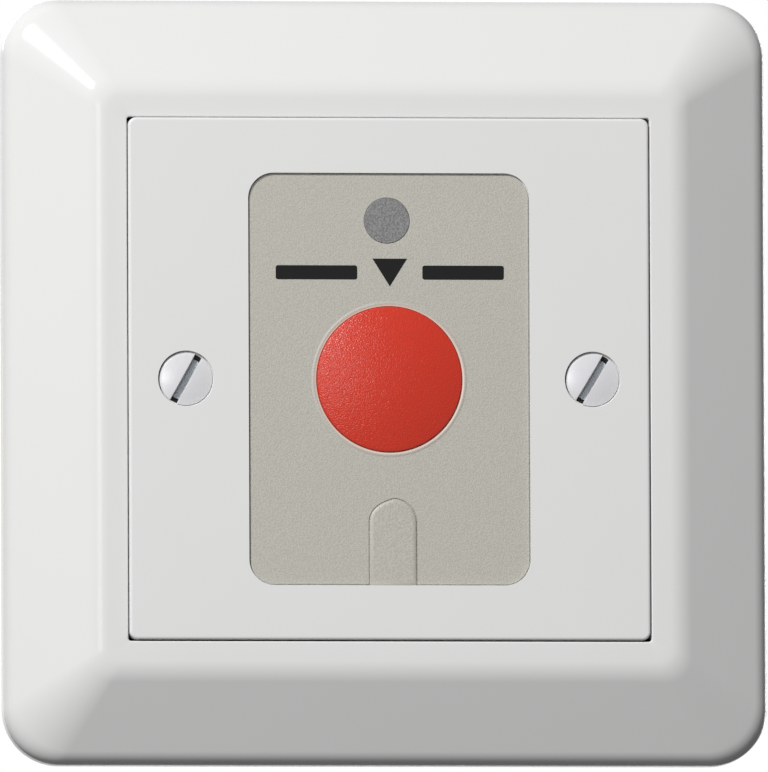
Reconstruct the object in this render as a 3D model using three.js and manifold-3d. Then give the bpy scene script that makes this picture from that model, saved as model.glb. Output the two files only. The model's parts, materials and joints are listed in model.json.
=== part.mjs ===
// Signal push button for a flush wall box: a bevelled surround frame, a square plate held by two
// slotted screws, a grey label with a red button and an indicator window, and behind them the
// steel mounting plate and the switch module that sits in the box.
//
// Millimetres. Every piece is drawn with the fitting on its back: +X to the right, +Y up the wall,
// +Z out of the wall, z = 0 on the wall and the button's axis at x = y = 0. The group at the end
// stands it up, so that the front looks along -Y and +Z is up the wall.
import * as THREE from "three";
import { mergeVertices } from "three/addons/utils/BufferGeometryUtils.js";
import Module from "manifold-3d";

// Clearances
const SEAT_GAP = 0.1; // between two faces that bear on each other
const RUNNING_GAP = 0.05; // round a piece that slides in its guide
const DROP_IN_GAP = 0.2; // round a piece that drops into its opening

// Cover plate
const PLATE_SIDE = 55;
const PLATE_CORNER = 0.9;
const PLATE_EDGE_ROUND = 0.35;
const PLATE_PROUD = 0.3; // above the frame's rim
const WEB_THICKNESS = 2.3;
const SKIRT_THICKNESS = 1.6;

// Surround frame, its section drawn from the outer edge inwards
const FRAME_BORDER = 12.8;
const FRAME_HEIGHT = 8;
const FRAME_WALL = 2;
const FRAME_CORNER = 6;
const SIDE_HEIGHT = 3.3; // where the side would meet the bevel if the edge were sharp
const SIDE_ROUND = 1.4;
const RIM_WIDTH = 3.2;
const RIM_ROUND = 1.1;
const RIM_CORNER = 2.2;
const OPENING_ROUND = 0.2;
const OPENING_CORNER = 0.3;
const LEDGE_WIDTH = 1.8;
const LEDGE_THICKNESS = 1.8;
const RIB_THICKNESS = 1.2;
const RIB_SPACING = 34;

// Label pocket and foil
const LABEL_SIDE_MARGIN = 12.6; // from the plate's edge
const LABEL_END_MARGIN = 5.7;
const LABEL_CORNER = 2.7;
const POCKET_DEPTH = 0.55;
const FOIL_THICKNESS = 0.25;
const FOIL_MARGIN = 0.15;
const FOIL_LIP_WIDTH = 0.4;
const FOIL_LIP_PROUD = 0.1;

// Red button
const BUTTON_DIAMETER = 15.4;
const BUTTON_CROWN = 0.85;
const BUTTON_EDGE_PROUD = 0.1; // rim of the dome above the foil
const BUTTON_TRAVEL = 0.8;
const BORE_GAP = 0.25;
const FLANGE_LIP = 0.8;
const FLANGE_THICKNESS = 0.9;
const STEM_DIAMETER = 5;
const STEM_REACH = 0.3; // past the back of the module's lid

// Indicator window and lamp
const WINDOW_DIAMETER = 4.85;
const WINDOW_DEPTH = 1;
const WINDOW_DROP = 5; // from the label's upper edge to its centre
const WINDOW_OFFSET = -0.2; // to the right of the button's axis
const LAMP_DIAMETER = 5;
const LAMP_LENGTH = 8.6;
const LAMP_FLANGE_LIP = 0.4;
const LAMP_FLANGE_THICKNESS = 1;
const LAMP_LEG_SPACING = 2.54;
const LAMP_LEG_WIDTH = 0.5;
const LAMP_LEG_HOLE = 0.9;

// Blanked cord outlet
const OUTLET_WIDTH = 5.15;
const OUTLET_DROP = 4.85; // from the button's edge to the top of the arch
const OUTLET_OFFSET = 0.35; // to the right of the button's axis
const OUTLET_GAP = 0.12;
const OUTLET_CROWN = 0.16;
const OUTLET_CROWN_WIDTH = 0.64; // of the rounded border of its face
const OUTLET_FLANGE_LIP = 0.8;
const OUTLET_FLANGE_THICKNESS = 0.8;

// Cover screws
const COVER_SCREW_INSET = 5.95; // from the plate's edge to the screw's axis
const COVER_SCREW_HEAD = 5.5;
const COVER_SCREW_SHANK = 3;
const COVER_SCREW_LENGTH = 12;
const COVER_SCREW_DOME = 0.35;
const COVER_SCREW_SUNK = 0.32; // edge of the head below the plate
const COVER_SCREW_PLAY = 0.2;
const COVER_SLOT_WIDTH = 0.68;
const COVER_SLOT_DEPTH = 0.9;
const COVER_SLOT_LEAN = { left: 29, right: 31 }; // degrees to the right of upright
const BOSS_DIAMETER = 7;
const BOSS_ROOT = 0.5; // how far it runs into the plate's web
const BOSS_GAP = 0.3; // left over the mounting plate

// Mounting plate
const MOUNT_THICKNESS = 1.5;
const MOUNT_CORNER = 4;
const MOUNT_MARGIN = 3; // inside the frame's wall
const BOX_SLOT_WIDTH = 3.8;
const BOX_SLOT_LENGTH = 7;
const BOX_SLOT_INSET = 5.5; // from the plate's edge to the slot's centre
const COLLAR_DIAMETER = 5.5;
const COLLAR_DEPTH = 1.5;
const THREAD_GAP = 0.1;

// Switch module
const MODULE_CLEARANCE = 1.8; // beside the collars
const MODULE_TOP_ROOM = 6.2; // above the lamp's centre
const MODULE_WALL = 1.5;
const MODULE_CORNER = 3;
const REAR_ROOM = 6; // behind the board
const LUG_REACH = 7;
const LUG_WIDTH = 7;
const LUG_THICKNESS = 4.5;
const LUG_SPACING = 28;
const POST_DIAMETER = 4;
const POST_INSET = 2.6; // from the board's edges to the post's axis
const LID_THICKNESS = 1.2;
const SPIGOT_THICKNESS = 1.2;
const SPIGOT_DEPTH = 1.5;
const GUIDE_DIAMETER = 7;
const GUIDE_HEIGHT = 1;

// Spring round the guide
const SPRING_WIRE = 0.5;
const SPRING_TURNS = 3.5;

// Push switch
const SWITCH_SIDE = 12;
const SWITCH_HEIGHT = 3.5;
const SWITCH_CHAMFER = 0.6;
const SWITCH_LEG_WIDTH = 1.2;
const SWITCH_LEG_REACH = 1;
const SWITCH_LEG_THICKNESS = 0.4;
const PLUNGER_DIAMETER = 5;
const PLUNGER_ENGAGEMENT = 1.6;

// Circuit board and the small parts on it
const BOARD_THICKNESS = 1.6;
const BOARD_CORNER = 1;
const RESISTOR = { length: 6.3, diameter: 2.3, span: 10 };
const DIODE = { length: 5, diameter: 2.6, span: 9 };
const LEAD_WIDTH = 0.6;
const LEAD_RISE = 0.3; // under the body of a lying part
const RESISTOR_OFFSET = 10.4;
const RESISTOR_RISE = 4;
const DIODE_DROP = 10.5;

// Screws of the module and the board
const MODULE_SCREW = { head: 4.4, headHeight: 1.6, shank: 2.4, length: 5.5, slot: 0.6 };
const BOARD_SCREW = { head: 3.4, headHeight: 1.1, shank: 1.8, length: 5.5, slot: 0.5 };
const SCREW_HOLE_GAP = 0.2;
const SCREW_SLOT_SHARE = 0.5; // of the head's height
const SCREW_TOP_SHARE = 2 / 3; // of the head's width, the flat of its crown

// Terminal block
const TERMINALS = 4;
const TERMINAL_PITCH = 5.08;
const TERMINAL_DEPTH = 8;
const TERMINAL_HEIGHT = 10;
const TERMINAL_CHAMFER = 1.2;
const CLAMP_SIZE = { width: 3.2, depth: 4, height: 3.2, hole: 2.2 };
const CLAMP_INSET = 1.4; // behind the mouth of the wire entry
const ENTRY_RISE = 3.4; // from the board to the middle of the wire entry
const TERMINAL_SCREW_DIAMETER = 3;
const TERMINAL_SCREW_SUNK = 0.6;
const TERMINAL_SLOT_WIDTH = 0.5;
const TERMINAL_SLOT_DEPTH = 0.7;
const BLOCK_GAP = 0.3;

// Fineness of round shapes
const CORNER_STEPS = 5;
const ARCH_STEPS = 10;
const EDGE_STEPS = 3;
const FINE_ROUND = 40;
const ROUND = 20;
const COARSE_ROUND = 12;
const WIRE_STEPS = 3;

// Heights above the wall
const LEDGE_BOTTOM = MOUNT_THICKNESS + SEAT_GAP;
const LEDGE_TOP = LEDGE_BOTTOM + LEDGE_THICKNESS;
const PLATE_FRONT = FRAME_HEIGHT + PLATE_PROUD;
const WEB_BACK = PLATE_FRONT - WEB_THICKNESS;
const POCKET_FLOOR = PLATE_FRONT - POCKET_DEPTH;
const FOIL_BACK = POCKET_FLOOR + RUNNING_GAP;
const FOIL_FRONT = FOIL_BACK + FOIL_THICKNESS;
const FLANGE_FRONT = WEB_BACK - SEAT_GAP;
const FLANGE_BACK = FLANGE_FRONT - FLANGE_THICKNESS;
const STEM_END = -STEM_REACH;
const PLUNGER_TOP = STEM_END - SEAT_GAP;
const SWITCH_TOP = PLUNGER_TOP - BUTTON_TRAVEL - SEAT_GAP;
const PLUNGER_END = SWITCH_TOP - PLUNGER_ENGAGEMENT;
const SWITCH_BACK = SWITCH_TOP - SWITCH_HEIGHT;
const BOARD_FRONT = SWITCH_BACK - SEAT_GAP;
const BOARD_BACK = BOARD_FRONT - BOARD_THICKNESS;
const REAR_INSIDE = BOARD_BACK - REAR_ROOM;
const REAR_OUTSIDE = REAR_INSIDE - MODULE_WALL;
const WINDOW_BACK = POCKET_FLOOR - WINDOW_DEPTH;
const LAMP_TOP = WINDOW_BACK - 2 * SEAT_GAP;
const LAMP_BASE = LAMP_TOP - LAMP_LENGTH;
const BLOCK_FRONT = BOARD_BACK - SEAT_GAP;
const BLOCK_BACK = BLOCK_FRONT - TERMINAL_HEIGHT;

// Sizes and places across the wall
const OPENING_SIDE = PLATE_SIDE + 2 * DROP_IN_GAP;
const FRAME_SIDE = OPENING_SIDE + 2 * FRAME_BORDER;
const BEVEL_WIDTH = FRAME_BORDER - RIM_WIDTH;
const LABEL_WIDTH = PLATE_SIDE - 2 * LABEL_SIDE_MARGIN;
const LABEL_HEIGHT = PLATE_SIDE - 2 * LABEL_END_MARGIN;
const LABEL_FOOT = -LABEL_HEIGHT / 2;
const WINDOW_RISE = LABEL_HEIGHT / 2 - WINDOW_DROP;
const OUTLET_TOP = -BUTTON_DIAMETER / 2 - OUTLET_DROP;
const COVER_SCREW_X = PLATE_SIDE / 2 - COVER_SCREW_INSET;
const MOUNT_SIDE = FRAME_SIDE - 2 * (FRAME_WALL + MOUNT_MARGIN);
const BOX_SLOT_RADIUS = MOUNT_SIDE / 2 - BOX_SLOT_INSET;
const MODULE_WIDTH = 2 * (COVER_SCREW_X - COLLAR_DIAMETER / 2 - MODULE_CLEARANCE);
const MODULE_HEIGHT = 2 * (WINDOW_RISE + MODULE_TOP_ROOM);
const LUG_SCREW_X = (MODULE_WIDTH + LUG_REACH) / 2;
const INSIDE_WIDTH = MODULE_WIDTH - 2 * MODULE_WALL;
const INSIDE_HEIGHT = MODULE_HEIGHT - 2 * MODULE_WALL;
const BOARD_WIDTH = INSIDE_WIDTH - 2 * DROP_IN_GAP;
const BOARD_HEIGHT = INSIDE_HEIGHT - 2 * DROP_IN_GAP;
const POST_X = BOARD_WIDTH / 2 - POST_INSET;
const POST_Y = BOARD_HEIGHT / 2 - POST_INSET;
const BLOCK_WIDTH = TERMINALS * TERMINAL_PITCH;
const BLOCK_FOOT = -POST_Y + POST_DIAMETER / 2 + BLOCK_GAP;
const BLOCK_MIDDLE = BLOCK_FOOT + TERMINAL_DEPTH / 2;

const SIDES = [-1, 1];
const CORNERS = [
  [1, 1],
  [-1, 1],
  [-1, -1],
  [1, -1],
];
const MERGE_DISTANCE = 1e-4;
const OVERSIZE = 1; // how far a cutter runs past what it cuts

const wasm = await Module();
wasm.setup();

// Turns a closed three.js geometry into a solid that can be cut and joined.
function solid(geometry) {
  const bare = new THREE.BufferGeometry();
  bare.setAttribute("position", geometry.getAttribute("position"));
  bare.setIndex(geometry.index);
  const merged = mergeVertices(bare, MERGE_DISTANCE);
  return new wasm.Manifold(
    new wasm.Mesh({
      numProp: 3,
      vertProperties: new Float32Array(merged.getAttribute("position").array),
      triVerts: new Uint32Array(merged.index.array),
    }),
  );
}

function joined(first, ...others) {
  return others.reduce((sum, other) => sum.add(other), first);
}

function cut(body, ...cutters) {
  return cutters.reduce((rest, cutter) => rest.subtract(cutter), body);
}

// Makes a solid into a named mesh.
function piece(name, body, material) {
  const mesh = body.getMesh();
  const geometry = new THREE.BufferGeometry();
  geometry.setAttribute("position", new THREE.BufferAttribute(mesh.vertProperties, 3));
  geometry.setIndex(new THREE.BufferAttribute(mesh.triVerts, 1));
  geometry.computeVertexNormals();
  const made = new THREE.Mesh(geometry, material);
  made.name = name;
  return made;
}

function placed(mesh, x, y, z = 0) {
  mesh.position.set(x, y, z);
  return mesh;
}

// An outline pulled straight up from one height to another.
function slab(shape, low, high, curveSegments = CORNER_STEPS) {
  const geometry = new THREE.ExtrudeGeometry(shape, {
    depth: high - low,
    bevelEnabled: false,
    curveSegments,
  });
  return solid(geometry.translate(0, 0, low));
}

function block(width, height, low, high, x = 0, y = 0) {
  const geometry = new THREE.BoxGeometry(width, height, high - low);
  return solid(geometry.translate(x, y, (low + high) / 2));
}

// A cylinder, or a cone if the two radii differ, standing between two heights.
function rod(radius, low, high, { x = 0, y = 0, topRadius = radius, segments = ROUND } = {}) {
  const geometry = new THREE.CylinderGeometry(topRadius, radius, high - low, segments);
  geometry.rotateX(Math.PI / 2);
  return solid(geometry.translate(x, y, (low + high) / 2));
}

// A round piece turned from its half profile, given from the lowest point of the axis to the highest.
function turned(profile, segments = ROUND) {
  const points = profile.map(([radius, height]) => new THREE.Vector2(radius, height));
  return solid(new THREE.LatheGeometry(points, segments).rotateX(Math.PI / 2));
}

// Points of a shallow dome from its edge to its crown.
function dome(radius, edge, crown, steps) {
  return Array.from({ length: steps + 1 }, (_, step) => {
    const across = 1 - step / steps;
    return [radius * across, edge + (crown - edge) * (1 - across * across)];
  });
}

function roundedRectangle(width, height, radius, x = 0, y = 0) {
  const shape = new THREE.Shape();
  CORNERS.forEach(([right, up], quarter) => {
    const centreX = x + right * (width / 2 - radius);
    const centreY = y + up * (height / 2 - radius);
    const start = (quarter * Math.PI) / 2;
    shape.absarc(centreX, centreY, radius, start, start + Math.PI / 2, false);
  });
  shape.closePath();
  return shape;
}

// One course of points round a rounded square, all with the same number of points.
function course(side, radius, height) {
  const points = [];
  CORNERS.forEach(([right, up], quarter) => {
    for (let step = 0; step <= CORNER_STEPS; step += 1) {
      const angle = ((quarter + step / CORNER_STEPS) * Math.PI) / 2;
      const x = right * (side / 2 - radius) + radius * Math.cos(angle);
      const y = up * (side / 2 - radius) + radius * Math.sin(angle);
      points.push(x, y, height);
    }
  });
  return points;
}

// Skins a pile of courses. A ring closes on its first course, and a block gets a flat top and bottom.
function lofted(courses, isRing) {
  const positions = courses.flat();
  const around = courses[0].length / 3;
  const last = courses.length - 1;
  const index = [];
  for (let level = 0; level < (isRing ? last + 1 : last); level += 1) {
    const lower = level * around;
    const upper = ((level + 1) % courses.length) * around;
    for (let here = 0; here < around; here += 1) {
      const next = (here + 1) % around;
      index.push(lower + here, lower + next, upper + next);
      index.push(lower + here, upper + next, upper + here);
    }
  }
  if (!isRing) {
    for (let here = 1; here < around - 1; here += 1) {
      index.push(0, here + 1, here);
      index.push(last * around, last * around + here, last * around + here + 1);
    }
  }
  const geometry = new THREE.BufferGeometry();
  geometry.setAttribute("position", new THREE.Float32BufferAttribute(positions, 3));
  geometry.setIndex(index);
  return solid(geometry);
}

// The arch of the cord outlet, grown or shrunk all round by a margin.
function archShape(margin, foot = LABEL_FOOT - margin) {
  const radius = OUTLET_WIDTH / 2 + margin;
  const shape = new THREE.Shape();
  const springing = OUTLET_TOP - OUTLET_WIDTH / 2;
  shape.moveTo(OUTLET_OFFSET + radius, foot);
  shape.lineTo(OUTLET_OFFSET + radius, springing);
  shape.absarc(OUTLET_OFFSET, springing, radius, 0, Math.PI, false);
  shape.lineTo(OUTLET_OFFSET - radius, foot);
  shape.closePath();
  return shape;
}

function material(color, roughness, metalness = 0) {
  return new THREE.MeshStandardMaterial({ color, roughness, metalness });
}

const finish = {
  frameWhite: material(0xdedfdb, 0.2),
  plateWhite: material(0xdcdcd9, 0.35),
  labelGrey: material(0xb5b2a9, 0.5),
  signalRed: material(0xc83a2a, 0.4),
  smokyGrey: material(0x828484, 0.3),
  screwWhite: material(0xe0e0dc, 0.3),
  zincSteel: material(0xaeb2b4, 0.4, 0.9),
  springSteel: material(0x8f9396, 0.35, 0.9),
  moduleGrey: material(0x55595c, 0.6),
  lidGrey: material(0xc9cac6, 0.5),
  switchBlack: material(0x202224, 0.5),
  boardGreen: material(0x1f5a38, 0.5),
  lampRed: material(0xb8302a, 0.2),
  resistorTan: material(0xc8ab7c, 0.6),
  terminalGreen: material(0x3c7a52, 0.5),
  brass: material(0xb8964e, 0.35, 0.9),
};

// How round the frame's corner is at a distance inwards from its outer edge.
function frameCorner(inset) {
  const { lerp } = THREE.MathUtils;
  if (inset < BEVEL_WIDTH) return lerp(FRAME_CORNER, RIM_CORNER, inset / BEVEL_WIDTH);
  const acrossRim = Math.min(1, (inset - BEVEL_WIDTH) / RIM_WIDTH);
  return lerp(RIM_CORNER, OPENING_CORNER, acrossRim);
}

// Hollow moulding: side, bevel and rim outside, a ledge round the opening, ribs in the hollow.
function surroundFrame() {
  const slope = (FRAME_HEIGHT - SIDE_HEIGHT) / BEVEL_WIDTH;
  const underBevel = FRAME_WALL * Math.hypot(1, slope);
  const skirt = FRAME_BORDER - FRAME_WALL;
  const footInside = SIDE_HEIGHT + slope * FRAME_WALL - underBevel;
  const ceiling = Math.min(FRAME_HEIGHT - FRAME_WALL, SIDE_HEIGHT + slope * skirt - underBevel);

  const section = new THREE.Path();
  section.moveTo(0, 0);
  section.lineTo(0, SIDE_HEIGHT - SIDE_ROUND);
  section.quadraticCurveTo(0, SIDE_HEIGHT, SIDE_ROUND, SIDE_HEIGHT + slope * SIDE_ROUND);
  section.lineTo(BEVEL_WIDTH - RIM_ROUND, FRAME_HEIGHT - slope * RIM_ROUND);
  section.quadraticCurveTo(BEVEL_WIDTH, FRAME_HEIGHT, BEVEL_WIDTH + RIM_ROUND, FRAME_HEIGHT);
  section.lineTo(FRAME_BORDER - OPENING_ROUND, FRAME_HEIGHT);
  section.lineTo(FRAME_BORDER, FRAME_HEIGHT - OPENING_ROUND);
  section.lineTo(FRAME_BORDER, LEDGE_TOP);
  section.lineTo(FRAME_BORDER + LEDGE_WIDTH, LEDGE_TOP);
  section.lineTo(FRAME_BORDER + LEDGE_WIDTH, LEDGE_BOTTOM);
  section.lineTo(skirt, LEDGE_BOTTOM);
  section.lineTo(skirt, ceiling);
  section.lineTo(FRAME_WALL, footInside);
  section.lineTo(FRAME_WALL, 0);
  const courses = section
    .getPoints(EDGE_STEPS)
    .map(({ x: inset, y: height }) => course(FRAME_SIDE - 2 * inset, frameCorner(inset), height));

  const overlap = FRAME_WALL / 4;
  const rib = new THREE.Shape([
    new THREE.Vector2(FRAME_WALL - overlap, LEDGE_BOTTOM),
    new THREE.Vector2(skirt + overlap, LEDGE_BOTTOM),
    new THREE.Vector2(skirt + overlap, ceiling + overlap),
    new THREE.Vector2(FRAME_WALL - overlap, footInside + overlap),
  ]);
  const ribs = [];
  for (let quarter = 0; quarter < 4; quarter += 1) {
    for (const side of SIDES) {
      const geometry = new THREE.ExtrudeGeometry(rib, {
        depth: RIB_THICKNESS,
        bevelEnabled: false,
      });
      geometry.translate(-FRAME_SIDE / 2, 0, (side * RIB_SPACING) / 2 - RIB_THICKNESS / 2);
      geometry.rotateX(Math.PI / 2);
      geometry.rotateZ((quarter * Math.PI) / 2);
      ribs.push(solid(geometry));
    }
  }
  return joined(lofted(courses, true), ...ribs);
}

// Square plate with a skirt, a pocket for the label, two bosses and the bores for what it carries.
function coverPlate() {
  const edge = [];
  for (let step = 0; step <= EDGE_STEPS; step += 1) {
    const angle = ((step / EDGE_STEPS) * Math.PI) / 2;
    const inset = PLATE_EDGE_ROUND * (1 - Math.cos(angle));
    const height = PLATE_FRONT - PLATE_EDGE_ROUND * (1 - Math.sin(angle));
    edge.push(course(PLATE_SIDE - 2 * inset, PLATE_CORNER - inset, height));
  }
  const skirtEnd = LEDGE_TOP + SEAT_GAP;
  const outside = lofted([course(PLATE_SIDE, PLATE_CORNER, skirtEnd), ...edge], false);
  const insideSide = PLATE_SIDE - 2 * SKIRT_THICKNESS;
  const inside = block(insideSide, insideSide, skirtEnd - OVERSIZE, WEB_BACK);
  const pocket = slab(
    roundedRectangle(LABEL_WIDTH, LABEL_HEIGHT, LABEL_CORNER),
    POCKET_FLOOR,
    PLATE_FRONT + OVERSIZE,
  );
  const lampRadius = LAMP_DIAMETER / 2 + DROP_IN_GAP;
  const lampBore = rod(lampRadius, WEB_BACK - OVERSIZE, PLATE_FRONT, {
    x: WINDOW_OFFSET,
    y: WINDOW_RISE,
  });
  const buttonBore = rod(BUTTON_DIAMETER / 2 + BORE_GAP, WEB_BACK - OVERSIZE, PLATE_FRONT, {
    segments: FINE_ROUND,
  });
  const outlet = slab(archShape(0, LABEL_FOOT), WEB_BACK - OVERSIZE, PLATE_FRONT, ARCH_STEPS);

  const bossEnd = MOUNT_THICKNESS + BOSS_GAP;
  const headEdge = PLATE_FRONT - COVER_SCREW_SUNK;
  const recessRadius = COVER_SCREW_HEAD / 2 + COVER_SCREW_PLAY;
  const holeRadius = COVER_SCREW_SHANK / 2 + COVER_SCREW_PLAY;
  const coneEnd = headEdge - (recessRadius - holeRadius);
  let plate = cut(outside, inside, pocket, lampBore, buttonBore, outlet);
  for (const side of SIDES) {
    const x = side * COVER_SCREW_X;
    plate = cut(
      plate.add(rod(BOSS_DIAMETER / 2, bossEnd, WEB_BACK + BOSS_ROOT, { x })),
      rod(holeRadius, bossEnd - OVERSIZE, PLATE_FRONT, { x }),
      rod(holeRadius, coneEnd, headEdge, { x, topRadius: recessRadius }),
      rod(recessRadius, headEdge, PLATE_FRONT + OVERSIZE, { x }),
    );
  }
  return plate;
}

function overlayFoil() {
  const width = LABEL_WIDTH - 2 * FOIL_MARGIN;
  const height = LABEL_HEIGHT - 2 * FOIL_MARGIN;
  const holeRadius = BUTTON_DIAMETER / 2 + SEAT_GAP;
  const lipRadius = holeRadius + FOIL_LIP_WIDTH;
  const sheet = roundedRectangle(width, height, LABEL_CORNER - FOIL_MARGIN);
  const round = { segments: FINE_ROUND };
  return cut(
    slab(sheet, FOIL_BACK, FOIL_FRONT).add(
      rod(lipRadius, FOIL_BACK, FOIL_FRONT + FOIL_LIP_PROUD, round),
    ),
    rod(holeRadius, FOIL_BACK - OVERSIZE, FOIL_FRONT + OVERSIZE, round),
    rod(WINDOW_DIAMETER / 2 + RUNNING_GAP, FOIL_BACK - OVERSIZE, FOIL_FRONT + OVERSIZE, {
      x: WINDOW_OFFSET,
      y: WINDOW_RISE,
    }),
    slab(
      archShape(0, LABEL_FOOT - OVERSIZE),
      FOIL_BACK - OVERSIZE,
      FOIL_FRONT + OVERSIZE,
      ARCH_STEPS,
    ),
  );
}

// A disc in the plate's bore with a smaller face that fills the hole in the foil.
function indicatorWindow() {
  const disc = LAMP_DIAMETER / 2 + DROP_IN_GAP - RUNNING_GAP;
  return rod(disc, WINDOW_BACK, FOIL_BACK).add(rod(WINDOW_DIAMETER / 2, POCKET_FLOOR, FOIL_FRONT));
}

function buttonCap() {
  const radius = BUTTON_DIAMETER / 2;
  const flange = radius + BORE_GAP + FLANGE_LIP;
  const stem = STEM_DIAMETER / 2;
  const edge = FOIL_FRONT + BUTTON_EDGE_PROUD;
  return turned(
    [
      [0, STEM_END],
      [stem, STEM_END],
      [stem, FLANGE_BACK],
      [flange, FLANGE_BACK],
      [flange, FLANGE_FRONT],
      [radius, FLANGE_FRONT],
      ...dome(radius, edge, edge + BUTTON_CROWN, 2 * EDGE_STEPS),
    ],
    FINE_ROUND,
  );
}

// Arch-shaped plug with a slightly swollen face and a flange behind the plate.
function cordOutletBlank() {
  const shape = archShape(-OUTLET_GAP, LABEL_FOOT + OUTLET_GAP);
  const swollen = new THREE.ExtrudeGeometry(shape, {
    depth: FOIL_FRONT - WEB_BACK,
    bevelThickness: OUTLET_CROWN,
    bevelSize: OUTLET_CROWN_WIDTH,
    bevelOffset: -OUTLET_CROWN_WIDTH,
    bevelSegments: EDGE_STEPS,
    curveSegments: ARCH_STEPS,
  });
  const flangeTop = WEB_BACK - SEAT_GAP;
  const flange = slab(
    archShape(OUTLET_FLANGE_LIP),
    flangeTop - OUTLET_FLANGE_THICKNESS,
    flangeTop,
    ARCH_STEPS,
  );
  return joined(
    solid(swollen.translate(0, 0, WEB_BACK)),
    slab(shape, flangeTop - OUTLET_FLANGE_THICKNESS, FOIL_FRONT - OUTLET_CROWN, ARCH_STEPS),
    flange,
  );
}

// Raised countersunk screw, its head's edge at z = 0.
function coverScrew() {
  const head = COVER_SCREW_HEAD / 2;
  const shank = COVER_SCREW_SHANK / 2;
  const tip = -COVER_SCREW_LENGTH;
  const body = turned([
    [0, tip],
    [shank - THREAD_GAP, tip],
    [shank, tip + THREAD_GAP],
    [shank, shank - head],
    ...dome(head, 0, COVER_SCREW_DOME, EDGE_STEPS),
  ]);
  const floor = COVER_SCREW_DOME - COVER_SLOT_DEPTH;
  return cut(body, block(COVER_SLOT_WIDTH, 2 * COVER_SCREW_HEAD, floor, OVERSIZE));
}

// Pan-head screw with a slot, its head standing on z = 0.
function panScrew({ head, headHeight, shank, length, slot }) {
  const body = turned(
    [
      [0, -length],
      [shank / 2, -length],
      [shank / 2, 0],
      [head / 2, 0],
      [head / 2, headHeight / 2],
      [(head * SCREW_TOP_SHARE) / 2, headHeight],
      [0, headHeight],
    ],
    COARSE_ROUND,
  );
  const floor = headHeight * (1 - SCREW_SLOT_SHARE);
  return cut(body, block(slot, 2 * head, floor, headHeight + OVERSIZE));
}

function mountingPlate() {
  let plate = slab(
    roundedRectangle(MOUNT_SIDE, MOUNT_SIDE, MOUNT_CORNER),
    0,
    MOUNT_THICKNESS,
  ).subtract(
    slab(
      roundedRectangle(
        MODULE_WIDTH + 2 * DROP_IN_GAP,
        MODULE_HEIGHT + 2 * DROP_IN_GAP,
        MODULE_CORNER,
      ),
      -OVERSIZE,
      MOUNT_THICKNESS + OVERSIZE,
    ),
  );
  for (const side of SIDES) {
    const x = side * COVER_SCREW_X;
    const threadRadius = COVER_SCREW_SHANK / 2 + THREAD_GAP;
    const across = roundedRectangle(
      BOX_SLOT_WIDTH,
      BOX_SLOT_LENGTH,
      BOX_SLOT_WIDTH / 2,
      side * BOX_SLOT_RADIUS,
      0,
    );
    const upright = roundedRectangle(
      BOX_SLOT_LENGTH,
      BOX_SLOT_WIDTH,
      BOX_SLOT_WIDTH / 2,
      0,
      side * BOX_SLOT_RADIUS,
    );
    plate = cut(
      plate.add(rod(COLLAR_DIAMETER / 2, -COLLAR_DEPTH, MOUNT_THICKNESS / 2, { x })),
      rod(threadRadius, -COLLAR_DEPTH - OVERSIZE, MOUNT_THICKNESS + OVERSIZE, { x }),
      slab(across, -OVERSIZE, MOUNT_THICKNESS + OVERSIZE),
      slab(upright, -OVERSIZE, MOUNT_THICKNESS + OVERSIZE),
    );
  }
  const lugHole = MODULE_SCREW.shank / 2 + SCREW_HOLE_GAP;
  for (const [right, up] of CORNERS) {
    const place = { x: right * LUG_SCREW_X, y: (up * LUG_SPACING) / 2, segments: COARSE_ROUND };
    plate = cut(plate, rod(lugHole, -OVERSIZE, MOUNT_THICKNESS + OVERSIZE, place));
  }
  return plate;
}

// Tray behind the mounting plate: walls, four lugs, four posts and the way out for the terminals.
function moduleBody() {
  const rim = -SEAT_GAP;
  const lugs = [];
  const holes = [];
  const posts = [];
  for (const [right, up] of CORNERS) {
    const lugX = right * LUG_SCREW_X;
    const lugY = (up * LUG_SPACING) / 2;
    const round = { x: lugX, y: lugY, segments: COARSE_ROUND };
    const post = { x: right * POST_X, y: up * POST_Y, segments: COARSE_ROUND };
    const boardScrewEnd = BOARD_FRONT - BOARD_SCREW.length;
    const lugRoot = LUG_REACH + MODULE_WALL;
    const lugMiddle = lugX - (right * MODULE_WALL) / 2;
    lugs.push(block(lugRoot, LUG_WIDTH, rim - LUG_THICKNESS, rim, lugMiddle, lugY));
    holes.push(
      rod(MODULE_SCREW.shank / 2 + THREAD_GAP, rim - LUG_THICKNESS - OVERSIZE, OVERSIZE, round),
      rod(BOARD_SCREW.shank / 2 + THREAD_GAP, boardScrewEnd - SEAT_GAP, OVERSIZE, post),
    );
    posts.push(rod(POST_DIAMETER / 2, REAR_INSIDE - MODULE_WALL / 2, BOARD_BACK - SEAT_GAP, post));
  }
  const inner = MODULE_CORNER - MODULE_WALL;
  const tray = slab(roundedRectangle(MODULE_WIDTH, MODULE_HEIGHT, MODULE_CORNER), REAR_OUTSIDE, rim);
  const inside = slab(
    roundedRectangle(INSIDE_WIDTH, INSIDE_HEIGHT, inner),
    REAR_INSIDE,
    OVERSIZE,
  );
  const blockTop = BLOCK_FOOT + TERMINAL_DEPTH + BLOCK_GAP;
  const wayOut = block(
    BLOCK_WIDTH + 2 * BLOCK_GAP,
    blockTop + INSIDE_HEIGHT / 2,
    REAR_OUTSIDE - OVERSIZE,
    REAR_INSIDE + OVERSIZE,
    0,
    (blockTop - INSIDE_HEIGHT / 2) / 2,
  );
  return cut(joined(tray.subtract(inside), ...lugs, ...posts), wayOut, ...holes);
}

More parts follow.
